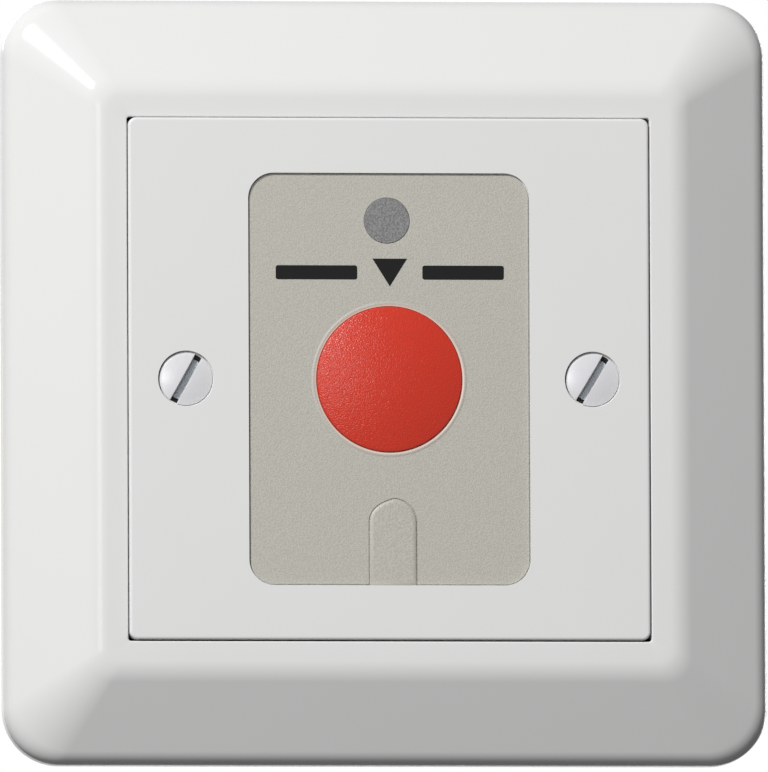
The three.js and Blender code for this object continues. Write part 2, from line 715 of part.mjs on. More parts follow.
// Lid of the tray: a plate with a spigot that snaps into the tray and a guide for the stem.
function moduleFront() {
  const spigotWidth = INSIDE_WIDTH - 2 * DROP_IN_GAP;
  const spigotHeight = INSIDE_HEIGHT - 2 * DROP_IN_GAP;
  const corner = MODULE_CORNER - MODULE_WALL - DROP_IN_GAP;
  const spigot = slab(
    roundedRectangle(spigotWidth, spigotHeight, corner),
    -SPIGOT_DEPTH,
    LID_THICKNESS / 2,
  );
  const hollow = block(
    spigotWidth - 2 * SPIGOT_THICKNESS,
    spigotHeight - 2 * SPIGOT_THICKNESS,
    -SPIGOT_DEPTH - OVERSIZE,
    0,
  );
  const lid = slab(roundedRectangle(MODULE_WIDTH, MODULE_HEIGHT, MODULE_CORNER), 0, LID_THICKNESS);
  const guideTop = LID_THICKNESS + GUIDE_HEIGHT;
  const guide = rod(GUIDE_DIAMETER / 2, LID_THICKNESS / 2, guideTop);
  return cut(
    joined(lid, spigot, guide),
    hollow,
    rod(STEM_DIAMETER / 2 + RUNNING_GAP, -OVERSIZE, guideTop + OVERSIZE, { segments: FINE_ROUND }),
    rod(LAMP_DIAMETER / 2 + DROP_IN_GAP, -OVERSIZE, LID_THICKNESS + OVERSIZE, {
      x: WINDOW_OFFSET,
      y: WINDOW_RISE,
    }),
  );
}

class Helix extends THREE.Curve {
  constructor(radius, low, high, turns) {
    super();
    this.radius = radius;
    this.low = low;
    this.high = high;
    this.turns = turns;
  }

  getPoint(t, target = new THREE.Vector3()) {
    const angle = 2 * Math.PI * this.turns * t;
    const height = THREE.MathUtils.lerp(this.low, this.high, t);
    return target.set(this.radius * Math.cos(angle), this.radius * Math.sin(angle), height);
  }
}

function buttonSpring() {
  const wire = SPRING_WIRE / 2;
  const radius = GUIDE_DIAMETER / 2 + DROP_IN_GAP + wire;
  const low = LID_THICKNESS + SEAT_GAP + wire;
  const high = FLANGE_BACK - SEAT_GAP - wire;
  const section = new THREE.Shape().absarc(0, 0, wire, 0, 2 * Math.PI, false);
  const geometry = new THREE.ExtrudeGeometry(section, {
    steps: Math.ceil(SPRING_TURNS * COARSE_ROUND),
    curveSegments: WIRE_STEPS,
    extrudePath: new Helix(radius, low, high, SPRING_TURNS),
  });
  return solid(geometry);
}

function switchBody() {
  const side = SWITCH_SIDE;
  const legReach = side / 2 + SWITCH_LEG_REACH;
  const shoulder = SWITCH_TOP - SWITCH_CHAMFER;
  const housing = lofted(
    [
      course(side, SWITCH_CHAMFER, SWITCH_BACK),
      course(side, SWITCH_CHAMFER, shoulder),
      course(side - 2 * SWITCH_CHAMFER, SWITCH_CHAMFER, SWITCH_TOP),
    ],
    false,
  );
  const legs = CORNERS.map(([right, up]) =>
    block(
      legReach,
      SWITCH_LEG_WIDTH,
      SWITCH_BACK,
      SWITCH_BACK + SWITCH_LEG_THICKNESS,
      (right * legReach) / 2,
      up * (side / 2 - SWITCH_LEG_WIDTH),
    ),
  );
  const boreEnd = PLUNGER_END - BUTTON_TRAVEL - SEAT_GAP;
  const bore = rod(PLUNGER_DIAMETER / 2 + RUNNING_GAP, boreEnd, SWITCH_TOP + OVERSIZE, {
    segments: FINE_ROUND,
  });
  return cut(joined(housing, ...legs), bore);
}

function switchPlunger() {
  return rod(PLUNGER_DIAMETER / 2, PLUNGER_END, PLUNGER_TOP, { segments: FINE_ROUND });
}

function circuitBoard() {
  const hole = BOARD_SCREW.shank / 2 + SCREW_HOLE_GAP;
  const holes = CORNERS.map(([right, up]) =>
    rod(hole, BOARD_BACK - OVERSIZE, BOARD_FRONT + OVERSIZE, {
      x: right * POST_X,
      y: up * POST_Y,
      segments: COARSE_ROUND,
    }),
  );
  const outline = roundedRectangle(BOARD_WIDTH, BOARD_HEIGHT, BOARD_CORNER);
  return cut(slab(outline, BOARD_BACK, BOARD_FRONT), ...holes);
}

// Domed lamp with a flange and two legs, drawn round its own axis.
function indicatorLamp() {
  const radius = LAMP_DIAMETER / 2;
  const flange = radius + LAMP_FLANGE_LIP;
  const profile = [
    [0, LAMP_BASE],
    [flange, LAMP_BASE],
    [flange, LAMP_BASE + LAMP_FLANGE_THICKNESS],
    [radius, LAMP_BASE + LAMP_FLANGE_THICKNESS],
  ];
  for (let step = 0; step <= CORNER_STEPS; step += 1) {
    const angle = ((step / CORNER_STEPS) * Math.PI) / 2;
    profile.push([radius * Math.cos(angle), LAMP_TOP - radius * (1 - Math.sin(angle))]);
  }
  const legs = SIDES.map((side) =>
    block(
      LAMP_LEG_WIDTH,
      LAMP_LEG_WIDTH,
      BOARD_FRONT + SEAT_GAP,
      LAMP_BASE + LAMP_FLANGE_THICKNESS / 2,
      (side * LAMP_LEG_SPACING) / 2,
    ),
  );
  return joined(turned(profile), ...legs);
}

function lampSpacer() {
  const holes = SIDES.map((side) =>
    rod(LAMP_LEG_HOLE / 2, BOARD_FRONT, LAMP_BASE, {
      x: (side * LAMP_LEG_SPACING) / 2,
      segments: COARSE_ROUND,
    }),
  );
  const radius = LAMP_DIAMETER / 2 + LAMP_FLANGE_LIP;
  return cut(rod(radius, BOARD_FRONT + SEAT_GAP, LAMP_BASE - SEAT_GAP), ...holes);
}

// Resistor or diode that lies along X, its two leads bent down onto z = 0.
function axialPart({ length, diameter, span }) {
  const radius = diameter / 2;
  const axis = radius + LEAD_RISE;
  const shoulder = radius / 2;
  const profile = [
    [0, -length / 2],
    [shoulder, -length / 2],
    [radius, shoulder - length / 2],
    [radius, length / 2 - shoulder],
    [shoulder, length / 2],
    [0, length / 2],
  ].map(([x, y]) => new THREE.Vector2(x, y));
  const body = new THREE.LatheGeometry(profile, COARSE_ROUND).rotateZ(Math.PI / 2);
  const lead = block(span, LEAD_WIDTH, axis - LEAD_WIDTH / 2, axis + LEAD_WIDTH / 2);
  const legs = SIDES.map((side) =>
    block(LEAD_WIDTH, LEAD_WIDTH, 0, axis, (side * (span - LEAD_WIDTH)) / 2),
  );
  return joined(solid(body.translate(0, 0, axis)), lead, ...legs);
}

function terminalX(number) {
  return (number - (TERMINALS + 1) / 2) * TERMINAL_PITCH;
}

const ENTRY_HEIGHT = BLOCK_FRONT - ENTRY_RISE;
const CLAMP_MIDDLE = BLOCK_FOOT + CLAMP_INSET + CLAMP_SIZE.depth / 2;
const CLAMP_TOP = ENTRY_HEIGHT - CLAMP_SIZE.height / 2;

// Block on the back of the board: square wire entries from below, screw holes from the back.
function terminalBlock() {
  const housing = new THREE.Shape([
    new THREE.Vector2(BLOCK_FOOT, BLOCK_BACK + TERMINAL_CHAMFER),
    new THREE.Vector2(BLOCK_FOOT + TERMINAL_CHAMFER, BLOCK_BACK),
    new THREE.Vector2(BLOCK_FOOT + TERMINAL_DEPTH, BLOCK_BACK),
    new THREE.Vector2(BLOCK_FOOT + TERMINAL_DEPTH, BLOCK_FRONT),
    new THREE.Vector2(BLOCK_FOOT, BLOCK_FRONT),
  ]);
  const geometry = new THREE.ExtrudeGeometry(housing, { depth: BLOCK_WIDTH, bevelEnabled: false });
  geometry.rotateY(Math.PI / 2).rotateX(Math.PI / 2);
  geometry.translate(-BLOCK_WIDTH / 2, 0, 0);
  const entryWidth = CLAMP_SIZE.width + 2 * SEAT_GAP;
  const entryHalf = CLAMP_SIZE.height / 2 + SEAT_GAP;
  const entryDepth = CLAMP_INSET + CLAMP_SIZE.depth + SEAT_GAP;
  const cutters = [];
  for (let number = 1; number <= TERMINALS; number += 1) {
    const x = terminalX(number);
    cutters.push(
      block(
        entryWidth,
        entryDepth + OVERSIZE,
        ENTRY_HEIGHT - entryHalf,
        ENTRY_HEIGHT + entryHalf,
        x,
        BLOCK_FOOT + (entryDepth - OVERSIZE) / 2,
      ),
      rod(TERMINAL_SCREW_DIAMETER / 2 + THREAD_GAP, BLOCK_BACK - OVERSIZE, ENTRY_HEIGHT, {
        x,
        y: CLAMP_MIDDLE,
        segments: COARSE_ROUND,
      }),
    );
  }
  return cut(solid(geometry), ...cutters);
}

function terminalClamp() {
  const { width, depth, height, hole } = CLAMP_SIZE;
  return cut(
    block(width, depth, -height / 2, height / 2),
    block(hole, depth + OVERSIZE, -hole / 2, hole / 2),
  );
}

// Slotted grub screw that bears on its clamp from the back.
function terminalScrew() {
  const head = BLOCK_BACK + TERMINAL_SCREW_SUNK;
  const shaft = rod(TERMINAL_SCREW_DIAMETER / 2, head, CLAMP_TOP - SEAT_GAP, {
    segments: COARSE_ROUND,
  });
  const slotFloor = head + TERMINAL_SLOT_DEPTH;
  return cut(
    shaft,
    block(TERMINAL_SLOT_WIDTH, 2 * TERMINAL_SCREW_DIAMETER, head - OVERSIZE, slotFloor),
  );
}

const front = new THREE.Group();
front.add(
  piece("surround_frame", surroundFrame(), finish.frameWhite),
  piece("cover_plate", coverPlate(), finish.plateWhite),
  piece("overlay_foil", overlayFoil(), finish.labelGrey),
  piece("cord_outlet_blank", cordOutletBlank(), finish.labelGrey),
  piece("button_cap", buttonCap(), finish.signalRed),
  placed(
    piece("indicator_window", indicatorWindow(), finish.smokyGrey),
    WINDOW_OFFSET,
    WINDOW_RISE,
  ),
);
for (const [name, side] of Object.entries({ left: -1, right: 1 })) {
  const screw = piece("cover_screw_" + name, coverScrew(), finish.screwWhite);
  screw.rotation.z = -THREE.MathUtils.degToRad(COVER_SLOT_LEAN[name]);
  front.add(placed(screw, side * COVER_SCREW_X, 0, PLATE_FRONT - COVER_SCREW_SUNK));
}

const behind = new THREE.Group();
behind.add(
  piece("mounting_plate", mountingPlate(), finish.zincSteel),
  piece("module_body", moduleBody(), finish.moduleGrey),
  piece("module_front", moduleFront(), finish.lidGrey),
  piece("button_spring", buttonSpring(), finish.springSteel),
  piece("switch_body", switchBody(), finish.switchBlack),
  piece("switch_plunger", switchPlunger(), finish.lidGrey),
  piece("circuit_board", circuitBoard(), finish.boardGreen),
  placed(piece("indicator_led", indicatorLamp(), finish.lampRed), WINDOW_OFFSET, WINDOW_RISE),
  placed(piece("led_spacer", lampSpacer(), finish.switchBlack), WINDOW_OFFSET, WINDOW_RISE),
  piece("terminal_block", terminalBlock(), finish.terminalGreen),
);
SIDES.forEach((side, which) => {
  const resistor = piece(
    "series_resistor_" + (which + 1),
    axialPart(RESISTOR),
    finish.resistorTan,
  );
  resistor.rotation.z = Math.PI / 2;
  behind.add(placed(resistor, side * RESISTOR_OFFSET, RESISTOR_RISE, BOARD_FRONT + SEAT_GAP));
});
const diode = piece("reverse_diode", axialPart(DIODE), finish.switchBlack);
behind.add(placed(diode, 0, -DIODE_DROP, BOARD_FRONT + SEAT_GAP));
CORNERS.forEach(([right, up], which) => {
  const moduleScrew = piece(
    "module_screw_" + (which + 1),
    panScrew(MODULE_SCREW),
    finish.zincSteel,
  );
  const boardScrew = piece("board_screw_" + (which + 1), panScrew(BOARD_SCREW), finish.zincSteel);
  const seat = MOUNT_THICKNESS + SEAT_GAP;
  behind.add(
    placed(moduleScrew, right * LUG_SCREW_X, (up * LUG_SPACING) / 2, seat),
    placed(boardScrew, right * POST_X, up * POST_Y, BOARD_FRONT + SEAT_GAP),
  );
});
for (let number = 1; number <= TERMINALS; number += 1) {
  behind.add(
    placed(
      piece("terminal_clamp_" + number, terminalClamp(), finish.brass),
      terminalX(number),
      CLAMP_MIDDLE,
      ENTRY_HEIGHT,
    ),
    placed(
      piece("terminal_screw_" + number, terminalScrew(), finish.zincSteel),
      terminalX(number),
      CLAMP_MIDDLE,
    ),
  );
}

const fitting = new THREE.Group();
fitting.add(front, behind);
fitting.rotation.x = Math.PI / 2;

export default fitting;
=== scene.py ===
"""Looks of a flush signal push button: white surround frame and plate, grey label, red button."""

import json
import math

import bmesh
import bpy
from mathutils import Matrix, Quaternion, Vector


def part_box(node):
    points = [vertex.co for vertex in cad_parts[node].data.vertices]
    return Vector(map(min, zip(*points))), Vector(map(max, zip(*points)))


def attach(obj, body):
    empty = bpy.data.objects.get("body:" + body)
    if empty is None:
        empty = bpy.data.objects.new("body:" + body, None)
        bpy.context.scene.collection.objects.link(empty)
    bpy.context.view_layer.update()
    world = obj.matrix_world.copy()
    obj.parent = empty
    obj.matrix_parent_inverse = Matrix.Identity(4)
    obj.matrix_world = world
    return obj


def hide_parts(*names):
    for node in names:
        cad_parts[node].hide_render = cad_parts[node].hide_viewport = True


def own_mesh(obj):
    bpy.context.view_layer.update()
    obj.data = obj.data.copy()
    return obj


bl_info = {
    "name": "Signal Push Button",
    "version": (1, 0, 0),
    "blender": (4, 5, 0),
    "location": "3D View > Sidebar > Push Button",
    "description": "Models and finishes a flush wall-mounted signal push button",
    "category": "Object",
}

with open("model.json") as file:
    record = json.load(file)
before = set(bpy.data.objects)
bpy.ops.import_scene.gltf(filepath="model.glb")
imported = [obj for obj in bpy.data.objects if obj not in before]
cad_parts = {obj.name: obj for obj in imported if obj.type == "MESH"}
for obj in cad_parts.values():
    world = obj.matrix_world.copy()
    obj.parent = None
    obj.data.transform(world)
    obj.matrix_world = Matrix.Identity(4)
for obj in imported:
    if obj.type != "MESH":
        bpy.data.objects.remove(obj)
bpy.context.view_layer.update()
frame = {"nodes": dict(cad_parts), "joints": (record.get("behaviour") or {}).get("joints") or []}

MM = 0.001
WELD = 1e-7
FLAT_ANGLE = math.radians(0.5)
EDGE_ANGLE = math.radians(35)
CORNERS = ((1, 1), (-1, 1), (-1, -1), (1, -1))
SIDES = {"left": -1, "right": 1}
WHOLE_TURN = 2 * math.pi
OVERSIZE = 1 * MM  # how far a cutter runs past what it cuts

# Fineness of round shapes
CORNER_STEPS = 24
FILLET_STEPS = 10
ROUND_STEPS = 128
ARCH_STEPS = 24
FACET_STEPS = 48
EDGE_STEPS = 6
RIM_STEPS = 4
DOME_RINGS = 24
HEAD_RINGS = 10
THREAD_ROWS = 8  # to each turn
COIL_STEPS = 64  # to each turn
WIRE_STEPS = 16
EDGE_SEGMENTS = 2

IMAGE_WIDTH = 768
IMAGE_HEIGHT = 772
SENSOR = 36
LAMP_DISTANCE = 1.3  # from the button's axis, in metres
FLOOR_REACH = 3


def linear(red, green, blue):
    """Scene colour of an 8-bit screen colour."""
    shares = [value / 255 for value in (red, green, blue)]
    return tuple(
        share / 12.92 if share <= 0.04045 else ((share + 0.055) / 1.055) ** 2.4
        for share in shares
    )


def length(name, description, millimetres):
    """A length setting."""
    return bpy.props.FloatProperty(
        name=name, description=description, default=millimetres * MM, unit="LENGTH", precision=5
    )


def turn(name, description, degrees):
    """An angle setting."""
    return bpy.props.FloatProperty(
        name=name, description=description, default=math.radians(degrees), subtype="ANGLE"
    )


def share(name, description, default):
    """A setting without a unit."""
    return bpy.props.FloatProperty(name=name, description=description, default=default, min=0)


def tint(name, description, red, green, blue):
    """A colour setting, given as a screen colour."""
    return bpy.props.FloatVectorProperty(
        name=name,
        description=description,
        default=linear(red, green, blue),
        subtype="COLOR",
        size=3,
        min=0,
        max=1,
    )


# Settings


class SurroundSettings(bpy.types.PropertyGroup):
    border: length("Border", "Width of the frame beside the plate", 12.8)
    wall: length("Wall", "Thickness of the moulding", 2)
    corner: length("Corner", "Radius of the outer corners", 6)
    side_height: length("Side Height", "Where the side would meet the bevel", 3.3)
    side_round: length("Side Rounding", "Length of the rounding between side and bevel", 1.4)
    rim_width: length("Rim", "Width of the flat rim round the plate", 3.2)
    rim_round: length("Rim Rounding", "Length of the rounding between bevel and rim", 1.1)
    rim_corner: length("Rim Corner", "Radius of the rim's corners", 2.2)
    opening_round: length("Opening Edge", "Rounding of the edge beside the plate", 0.2)
    opening_corner: length("Opening Corner", "Radius in the corners of the opening", 0.3)
    ledge_width: length("Ledge Width", "How far the ledge reaches in under the plate", 1.8)
    ledge_bottom: length("Ledge Underside", "Height of the ledge's underside above the wall", 1.6)
    ledge_top: length("Ledge Top", "Height of the ledge's upper side above the wall", 3.4)
    rib_spacing: length("Rib Spacing", "Between the two ribs of each side", 34)
    rib_thickness: length("Rib Thickness", "Thickness of the ribs in the hollow", 1.2)
    color: tint("Colour", "Glossy white of the frame", 221, 221, 220)


class PlateSettings(bpy.types.PropertyGroup):
    gap: length("Gap", "Gap between the plate and the frame", 0.09)
    lift: length("Lift", "How far the plate has settled upward in the frame", 0.05)
    corner: length("Corner", "Radius of the plate's corners", 0.9)
    edge_round: length("Edge Rounding", "Rounding of the front edge", 0.35)
    web: length("Web", "Thickness of the plate's front", 2.3)
    skirt: length("Skirt", "Thickness of the plate's side walls", 1.6)
    skirt_end: length("Skirt End", "Height of the skirt's end above the wall", 3.5)
    pocket_depth: length("Pocket Depth", "Depth of the label's pocket", 0.55)
    boss: length("Boss", "Diameter of the bosses of the screws", 7)
    fine_edge: length("Fine Edge", "Rounding of the pocket's and the bores' edges", 0.08)
    color: tint("Colour", "Satin white of the plate", 221, 221, 220)


class LabelSettings(bpy.types.PropertyGroup):
    margin: length("Margin", "Gap between the foil and its pocket", 0.15)
    gap: length("Visible Gap", "Gap that is left in the finished label", 0.08)
    corner: length("Corner", "Radius of the pocket's corners", 2.7)
    thickness: length("Thickness", "Thickness of the foil", 0.17)
    edge_round: length("Edge Rounding", "Rounding of the foil's outer edge", 0.12)
    notch_round: length("Notch Rounding", "Rounding of the foil's cut edges", 0.04)
    window_gap: length("Window Gap", "Gap in the foil round the window", 0.03)
    lip_inside: length("Lip Radius", "Inner radius of the raised lip round the button", 7.75)
    lip_width: length("Lip Width", "Width of the raised lip", 0.55)
    lip_height: length("Lip Height", "Height of the raised lip", 0.05)
    ring_width: length("Ring", "Width of the pale ring on the lip", 0.2)
    ink_height: length("Ink", "Thickness of the dark print", 0.012)
    sign_rise: length("Sign Rise", "From the button's axis up to the middle of the sign", 11.3)
    sign_offset: length("Sign Offset", "From the button's axis to the sign's middle", 0.1)
    sign_width: length("Sign Width", "Overall width of the sign", 24.2)
    arrow_width: length("Arrow Width", "Width of the arrow above the button", 3.7)
    arrow_height: length("Arrow Height", "Height of the arrow above the button", 2.95)
    bar_height: length("Bar Height", "Height of the bars beside the arrow", 1.5)
    bar_gap: length("Bar Gap", "Between the arrow and each bar", 1.6)
    grain: length("Grain", "Size of the foil's grain", 0.16)
    color: tint("Colour", "Warm grey of the printed foil", 180, 177, 168)
    ring_color: tint("Ring Colour", "Pale ring round the button", 216, 190, 178)
    ink_color: tint("Ink", "Near-black print", 16, 16, 16)


class ButtonSettings(bpy.types.PropertyGroup):
    diameter: length("Diameter", "Diameter of the visible button", 15.4)
    crown: length("Crown", "Height of the dome above its edge", 0.85)
    edge_round: length("Edge Rounding", "Rounding of the dome's edge", 0.16)
    flange: length("Flange", "Thickness of the flange behind the plate", 0.9)
    stem: length("Stem", "Diameter of the stem", 5)
    chamfer: length("Chamfer", "Chamfer of the flange and of the stem's end", 0.15)
    bore_gap: length("Bore Gap", "Round the button in its bore", 0.25)
    seat_gap: length("Seat Gap", "Between the flange and the plate's back", 0.1)
    grain: length("Grain", "Size of the surface's grain", 0.13)
    color: tint("Colour", "Signal red", 198, 50, 30)


class WindowSettings(bpy.types.PropertyGroup):
    diameter: length("Diameter", "Diameter of the visible window", 4.8)
    edge_round: length("Edge Rounding", "Rounding of the window's edge", 0.06)
    bore_gap: length("Bore Gap", "Round the window in its bore", 0.05)
    color: tint("Colour", "Smoky grey of the window", 124, 124, 124)


class OutletSettings(bpy.types.PropertyGroup):
    width: length("Width", "Width of the arch-shaped opening", 5.15)
    offset: length("Offset", "From the button's axis to the arch's middle", 0.35)
    top: length("Top", "From the button's axis down to the arch's top", 12.55)
    apex_offset: length("Apex Offset", "From the arch's middle to its top", 0.13)
    gap: length("Gap", "Round the tongue in its opening", 0.08)
    play: length("Play", "Round the tongue's body below the gap", 0.01)
    crown: length("Crown", "How far the tongue's middle swells", 0.1)
    border: length("Border", "Width of the tongue's rounded border", 0.5)
    groove: length("Groove", "Depth of the gap below the tongue's border", 0.03)
    flange_lip: length("Flange Lip", "How far the flange reaches past the opening", 0.8)
    flange: length("Flange", "Thickness of the flange", 0.8)


class ScrewSettings(bpy.types.PropertyGroup):
    head: length("Head", "Diameter of the raised countersunk head", 5.6)
    shank: length("Shank", "Diameter of the thread", 3)
    dome: length("Dome", "Height of the head's dome", 0.35)
    rim: length("Rim", "Height of the straight rim round the head", 0.08)
    recess: length("Recess", "Diameter of the recess round the head", 5.9)
    # Out to this diameter the countersink gets painted shade, a dark colour in place of the shadow in the
    # gap round the screw head.
    shaded: length("Shaded Recess", "Diameter to which the countersink is dark", 5.5)
    hole: length("Hole", "Diameter of the hole for the thread", 3.4)
    slot_width: length("Slot Width", "Width of the slot", 0.8)
    slot_depth: length("Slot Depth", "Depth of the slot", 0.9)
    slot_round: length("Slot Rounding", "Rounding of the slot's edges", 0.03)
    thread_pitch: length("Thread Pitch", "Pitch of the thread", 0.5)
    thread_depth: length("Thread Depth", "Depth of the thread", 0.22)
    lean_left: turn("Left Slot", "Lean of the left slot to the right of upright", 29)
    lean_right: turn("Right Slot", "Lean of the right slot to the right of upright", 31)
    enamel: tint("Enamel", "White enamel of the heads", 213, 213, 216)
    bare: tint("Bare Metal", "Worn metal in the slots", 166, 172, 176)
    # Painted shade: this dark colour stands in for the shadow deep in the countersinks, in the gap round
    # each screw head.
    shade: tint("Shade", "Painted shade deep in the countersinks", 30, 30, 26)


class BehindSettings(bpy.types.PropertyGroup):
    steel_edge: length("Sheet Edge", "Rounding of the steel plate's edges", 0.15)
    mould_edge: length("Moulded Edge", "Rounding of the module's edges", 0.25)
    block_edge: length("Block Edge", "Rounding of the terminal block's edges", 0.15)
    screw_edge: length("Screw Edge", "Rounding of the small screws' edges", 0.08)
    wire: length("Spring Wire", "Diameter of the spring's wire", 0.5)
    turns: share("Spring Turns", "Number of turns of the spring", 3.5)
    zinc: tint("Zinc", "Zinc-plated steel", 170, 174, 178)
    steel: tint("Steel", "Plain screw steel", 164, 166, 168)
    brass: tint("Brass", "Plain brass", 214, 178, 104)
    tray: tint("Tray", "Dark grey of the module's tray", 88, 92, 95)
    lid: tint("Lid", "Light grey of the module's lid", 201, 202, 198)
    black: tint("Black", "Black mouldings", 38, 40, 42)
    block: tint("Terminal Green", "Green of the terminal block", 62, 128, 84)
    board: tint("Board Green", "Green of the circuit board", 30, 92, 56)
    lamp: tint("Lamp Red", "Red resin of the lamp", 190, 44, 38)
    lacquer: tint("Lacquer", "Tan lacquer of the resistors", 202, 172, 122)


class StageSettings(bpy.types.PropertyGroup):
    azimuth: turn("Azimuth", "Camera's angle to the right of square on", -5.4)
    elevation: turn("Elevation", "Camera's angle above level", -4.1)
    roll: turn("Roll", "Camera's roll, counter-clockwise", -0.23)
    distance: length("Distance", "From the camera to the wall", 3200)
    picture_width: length("Picture Width", "Width that the picture takes in at the wall", 81.25)
    shift_right: length("Aim Right", "Middle of the picture, to the right of the axis", 0.19)
    shift_down: length("Aim Down", "Middle of the picture, below the axis", 0.137)
    key_level: share("Key Level", "Light from the key lamp on a face square to it", 0.99)
    sheen_level: share("Sheen Level", "Light from the lamp beside the camera", 0.23)
    back_level: share("Back Level", "Light on the back of the fitting", 0.8)
    room_level: share("Room Level", "Light from the room on every side", 0.06)
    floor_drop: length("Floor Drop", "From the button's axis down to the floor", 600)
    floor_color: tint("Floor", "Pale floor", 236, 236, 234)


SETTINGS = {
    "surround": SurroundSettings,
    "plate": PlateSettings,
    "label": LabelSettings,
    "button": ButtonSettings,
    "window": WindowSettings,
    "outlet": OutletSettings,
    "screw": ScrewSettings,
    "behind": BehindSettings,
    "stage": StageSettings,
}


class PushButtonSettings(bpy.types.PropertyGroup):
    surround: bpy.props.PointerProperty(type=SurroundSettings)
    plate: bpy.props.PointerProperty(type=PlateSettings)
    label: bpy.props.PointerProperty(type=LabelSettings)
    button: bpy.props.PointerProperty(type=ButtonSettings)
    window: bpy.props.PointerProperty(type=WindowSettings)
    outlet: bpy.props.PointerProperty(type=OutletSettings)
    screw: bpy.props.PointerProperty(type=ScrewSettings)
    behind: bpy.props.PointerProperty(type=BehindSettings)
    stage: bpy.props.PointerProperty(type=StageSettings)


# Points and outlines. Across the wall a point is (x, up), and out is its height above the wall.


def place(x, up, out):
    """A point given by its distance to the right, up the wall and out of the wall."""
    return Vector((x, -out, up))


def out_of(node):
    """Heights above the wall of a CAD piece's back and front."""
    low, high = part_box(node)
    return -high.y, -low.y


def middle_of(node):
    """Middle of a CAD piece across the wall."""
    low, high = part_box(node)
    return (low.x + high.x) / 2, (low.z + high.z) / 2


def size_of(node):
    """Width and height of a CAD piece across the wall."""
    low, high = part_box(node)
    return high.x - low.x, high.z - low.z


def pocket_foot(label):
    """How far up the wall the label's pocket begins."""
    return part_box("overlay_foil")[0].z - label.margin


def between(start, end, amount):
    """A value part of the way from one to another."""
    return start + (end - start) * amount


def curve(controls, steps):
    """Points along a Bezier curve, both ends included."""
    points = []
    for step in range(steps + 1):
        left = [Vector(control) for control in controls]
        while len(left) > 1:
            left = [between(a, b, step / steps) for a, b in zip(left, left[1:])]
        points.append(tuple(left[0]))
    return points


def rounded(width, height, radius, middle=(0, 0), steps=CORNER_STEPS):
    """Outline of a rectangle with round corners, counter-clockwise from its right side."""
    points = []
    for quarter, (right, above) in enumerate(CORNERS):
        for step in range(steps + 1):
            angle = (quarter + step / steps) * WHOLE_TURN / 4
            points.append(
                (
                    middle[0] + right * (width / 2 - radius) + radius * math.cos(angle),
                    middle[1] + above * (height / 2 - radius) + radius * math.sin(angle),
                )
            )
    return points


def circle(radius, middle=(0, 0), steps=ROUND_STEPS):
    """Outline of a circle, counter-clockwise from its right side."""
    angles = [WHOLE_TURN * step / steps for step in range(steps)]
    return [
        (middle[0] + radius * math.cos(angle), middle[1] + radius * math.sin(angle))
        for angle in angles
    ]


def arch(size, margin, foot):
    """Outline of the cord outlet: straight sides and two flanks that meet at a blunt point."""
    half = size.width / 2 + margin
    springing = -size.top - size.width / 2
    top = -size.top + margin
    rise = top - springing
    apex = (size.offset + size.apex_offset, top)
    right = curve(
        [
            (size.offset + half, springing),
            (size.offset + half, springing + 0.58 * rise),
            (size.offset + 0.52 * half, top - 0.04 * rise),
            apex,
        ],
        ARCH_STEPS,
    )
    left = curve(
        [
            apex,
            (size.offset - 0.4 * half, top - 0.12 * rise),
            (size.offset - half, springing + 0.62 * rise),
            (size.offset - half, springing),
        ],
        ARCH_STEPS,
    )
    return [(size.offset + half, foot), *right, *left[1:], (size.offset - half, foot)]


# Meshes


def skin(courses, ring=False):
    """A skin over courses of points. A ring closes on its first course, else both ends are capped."""
    form = bmesh.new()
    rows = [[form.verts.new(point) for point in course] for course in courses]
    pairs = list(zip(rows, rows[1:]))
    if ring:
        pairs.append((rows[-1], rows[0]))
    for lower, upper in pairs:
        for here in range(len(lower)):
            after = (here + 1) % len(lower)
            form.faces.new((lower[here], lower[after], upper[after], upper[here]))
    if not ring:
        form.faces.new(rows[0][::-1])
        form.faces.new(rows[-1])
    return form


def raised(outline, out):
    """An outline as a course of points at one height."""
    return [place(x, up, out) for x, up in outline]


def prism(outline, low, high):
    """An outline pulled from one height to another."""
    return skin([raised(outline, low), raised(outline, high)])


def turned(profile, middle=(0, 0), ring=False):
    """A round form from (radius, out) pairs. Ends that aren't on the axis are capped flat."""
    return skin([raised(circle(radius, middle), out) for radius, out in profile], ring)


def as_object(name, form):
    """An object made of a form, with its faces pointing out."""
    bmesh.ops.remove_doubles(form, verts=form.verts, dist=WELD)
    bmesh.ops.recalc_face_normals(form, faces=form.faces)
    mesh = bpy.data.meshes.new(name)
    form.to_mesh(mesh)
    form.free()
    made = bpy.data.objects.new(name, mesh)
    bpy.context.scene.collection.objects.link(made)
    return made


def settle(made):
    """Applies a piece's modifiers."""
    bpy.context.view_layer.update()
    evaluated = made.evaluated_get(bpy.context.evaluated_depsgraph_get())
    settled = bpy.data.meshes.new_from_object(evaluated)
    made.modifiers.clear()
    old = made.data
    made.data = settled
    bpy.data.meshes.remove(old)
    return made


def combined(made, operation, forms):
    """Joins forms to a piece or cuts them from it."""
    tools = [as_object("tool", form) for form in forms]
    for tool in tools:
        change = made.modifiers.new("Combine", "BOOLEAN")
        change.operation = operation
        change.solver = "EXACT"
        change.object = tool
    settle(made)
    for tool in tools:
        mesh = tool.data
        bpy.data.objects.remove(tool)
        bpy.data.meshes.remove(mesh)
    return made


def joined(made, *forms):
    """Joins forms to a piece."""
    return combined(made, "UNION", forms)


def cut(made, *forms):
    """Cuts forms from a piece."""
    return combined(made, "DIFFERENCE", forms)


def soften(made, width):
    """Rounds a piece's sharp edges."""
    bevel = made.modifiers.new("Edges", "BEVEL")
    bevel.width = width
    bevel.segments = EDGE_SEGMENTS
    bevel.limit_method = "ANGLE"
    bevel.angle_limit = EDGE_ANGLE
    return settle(made)


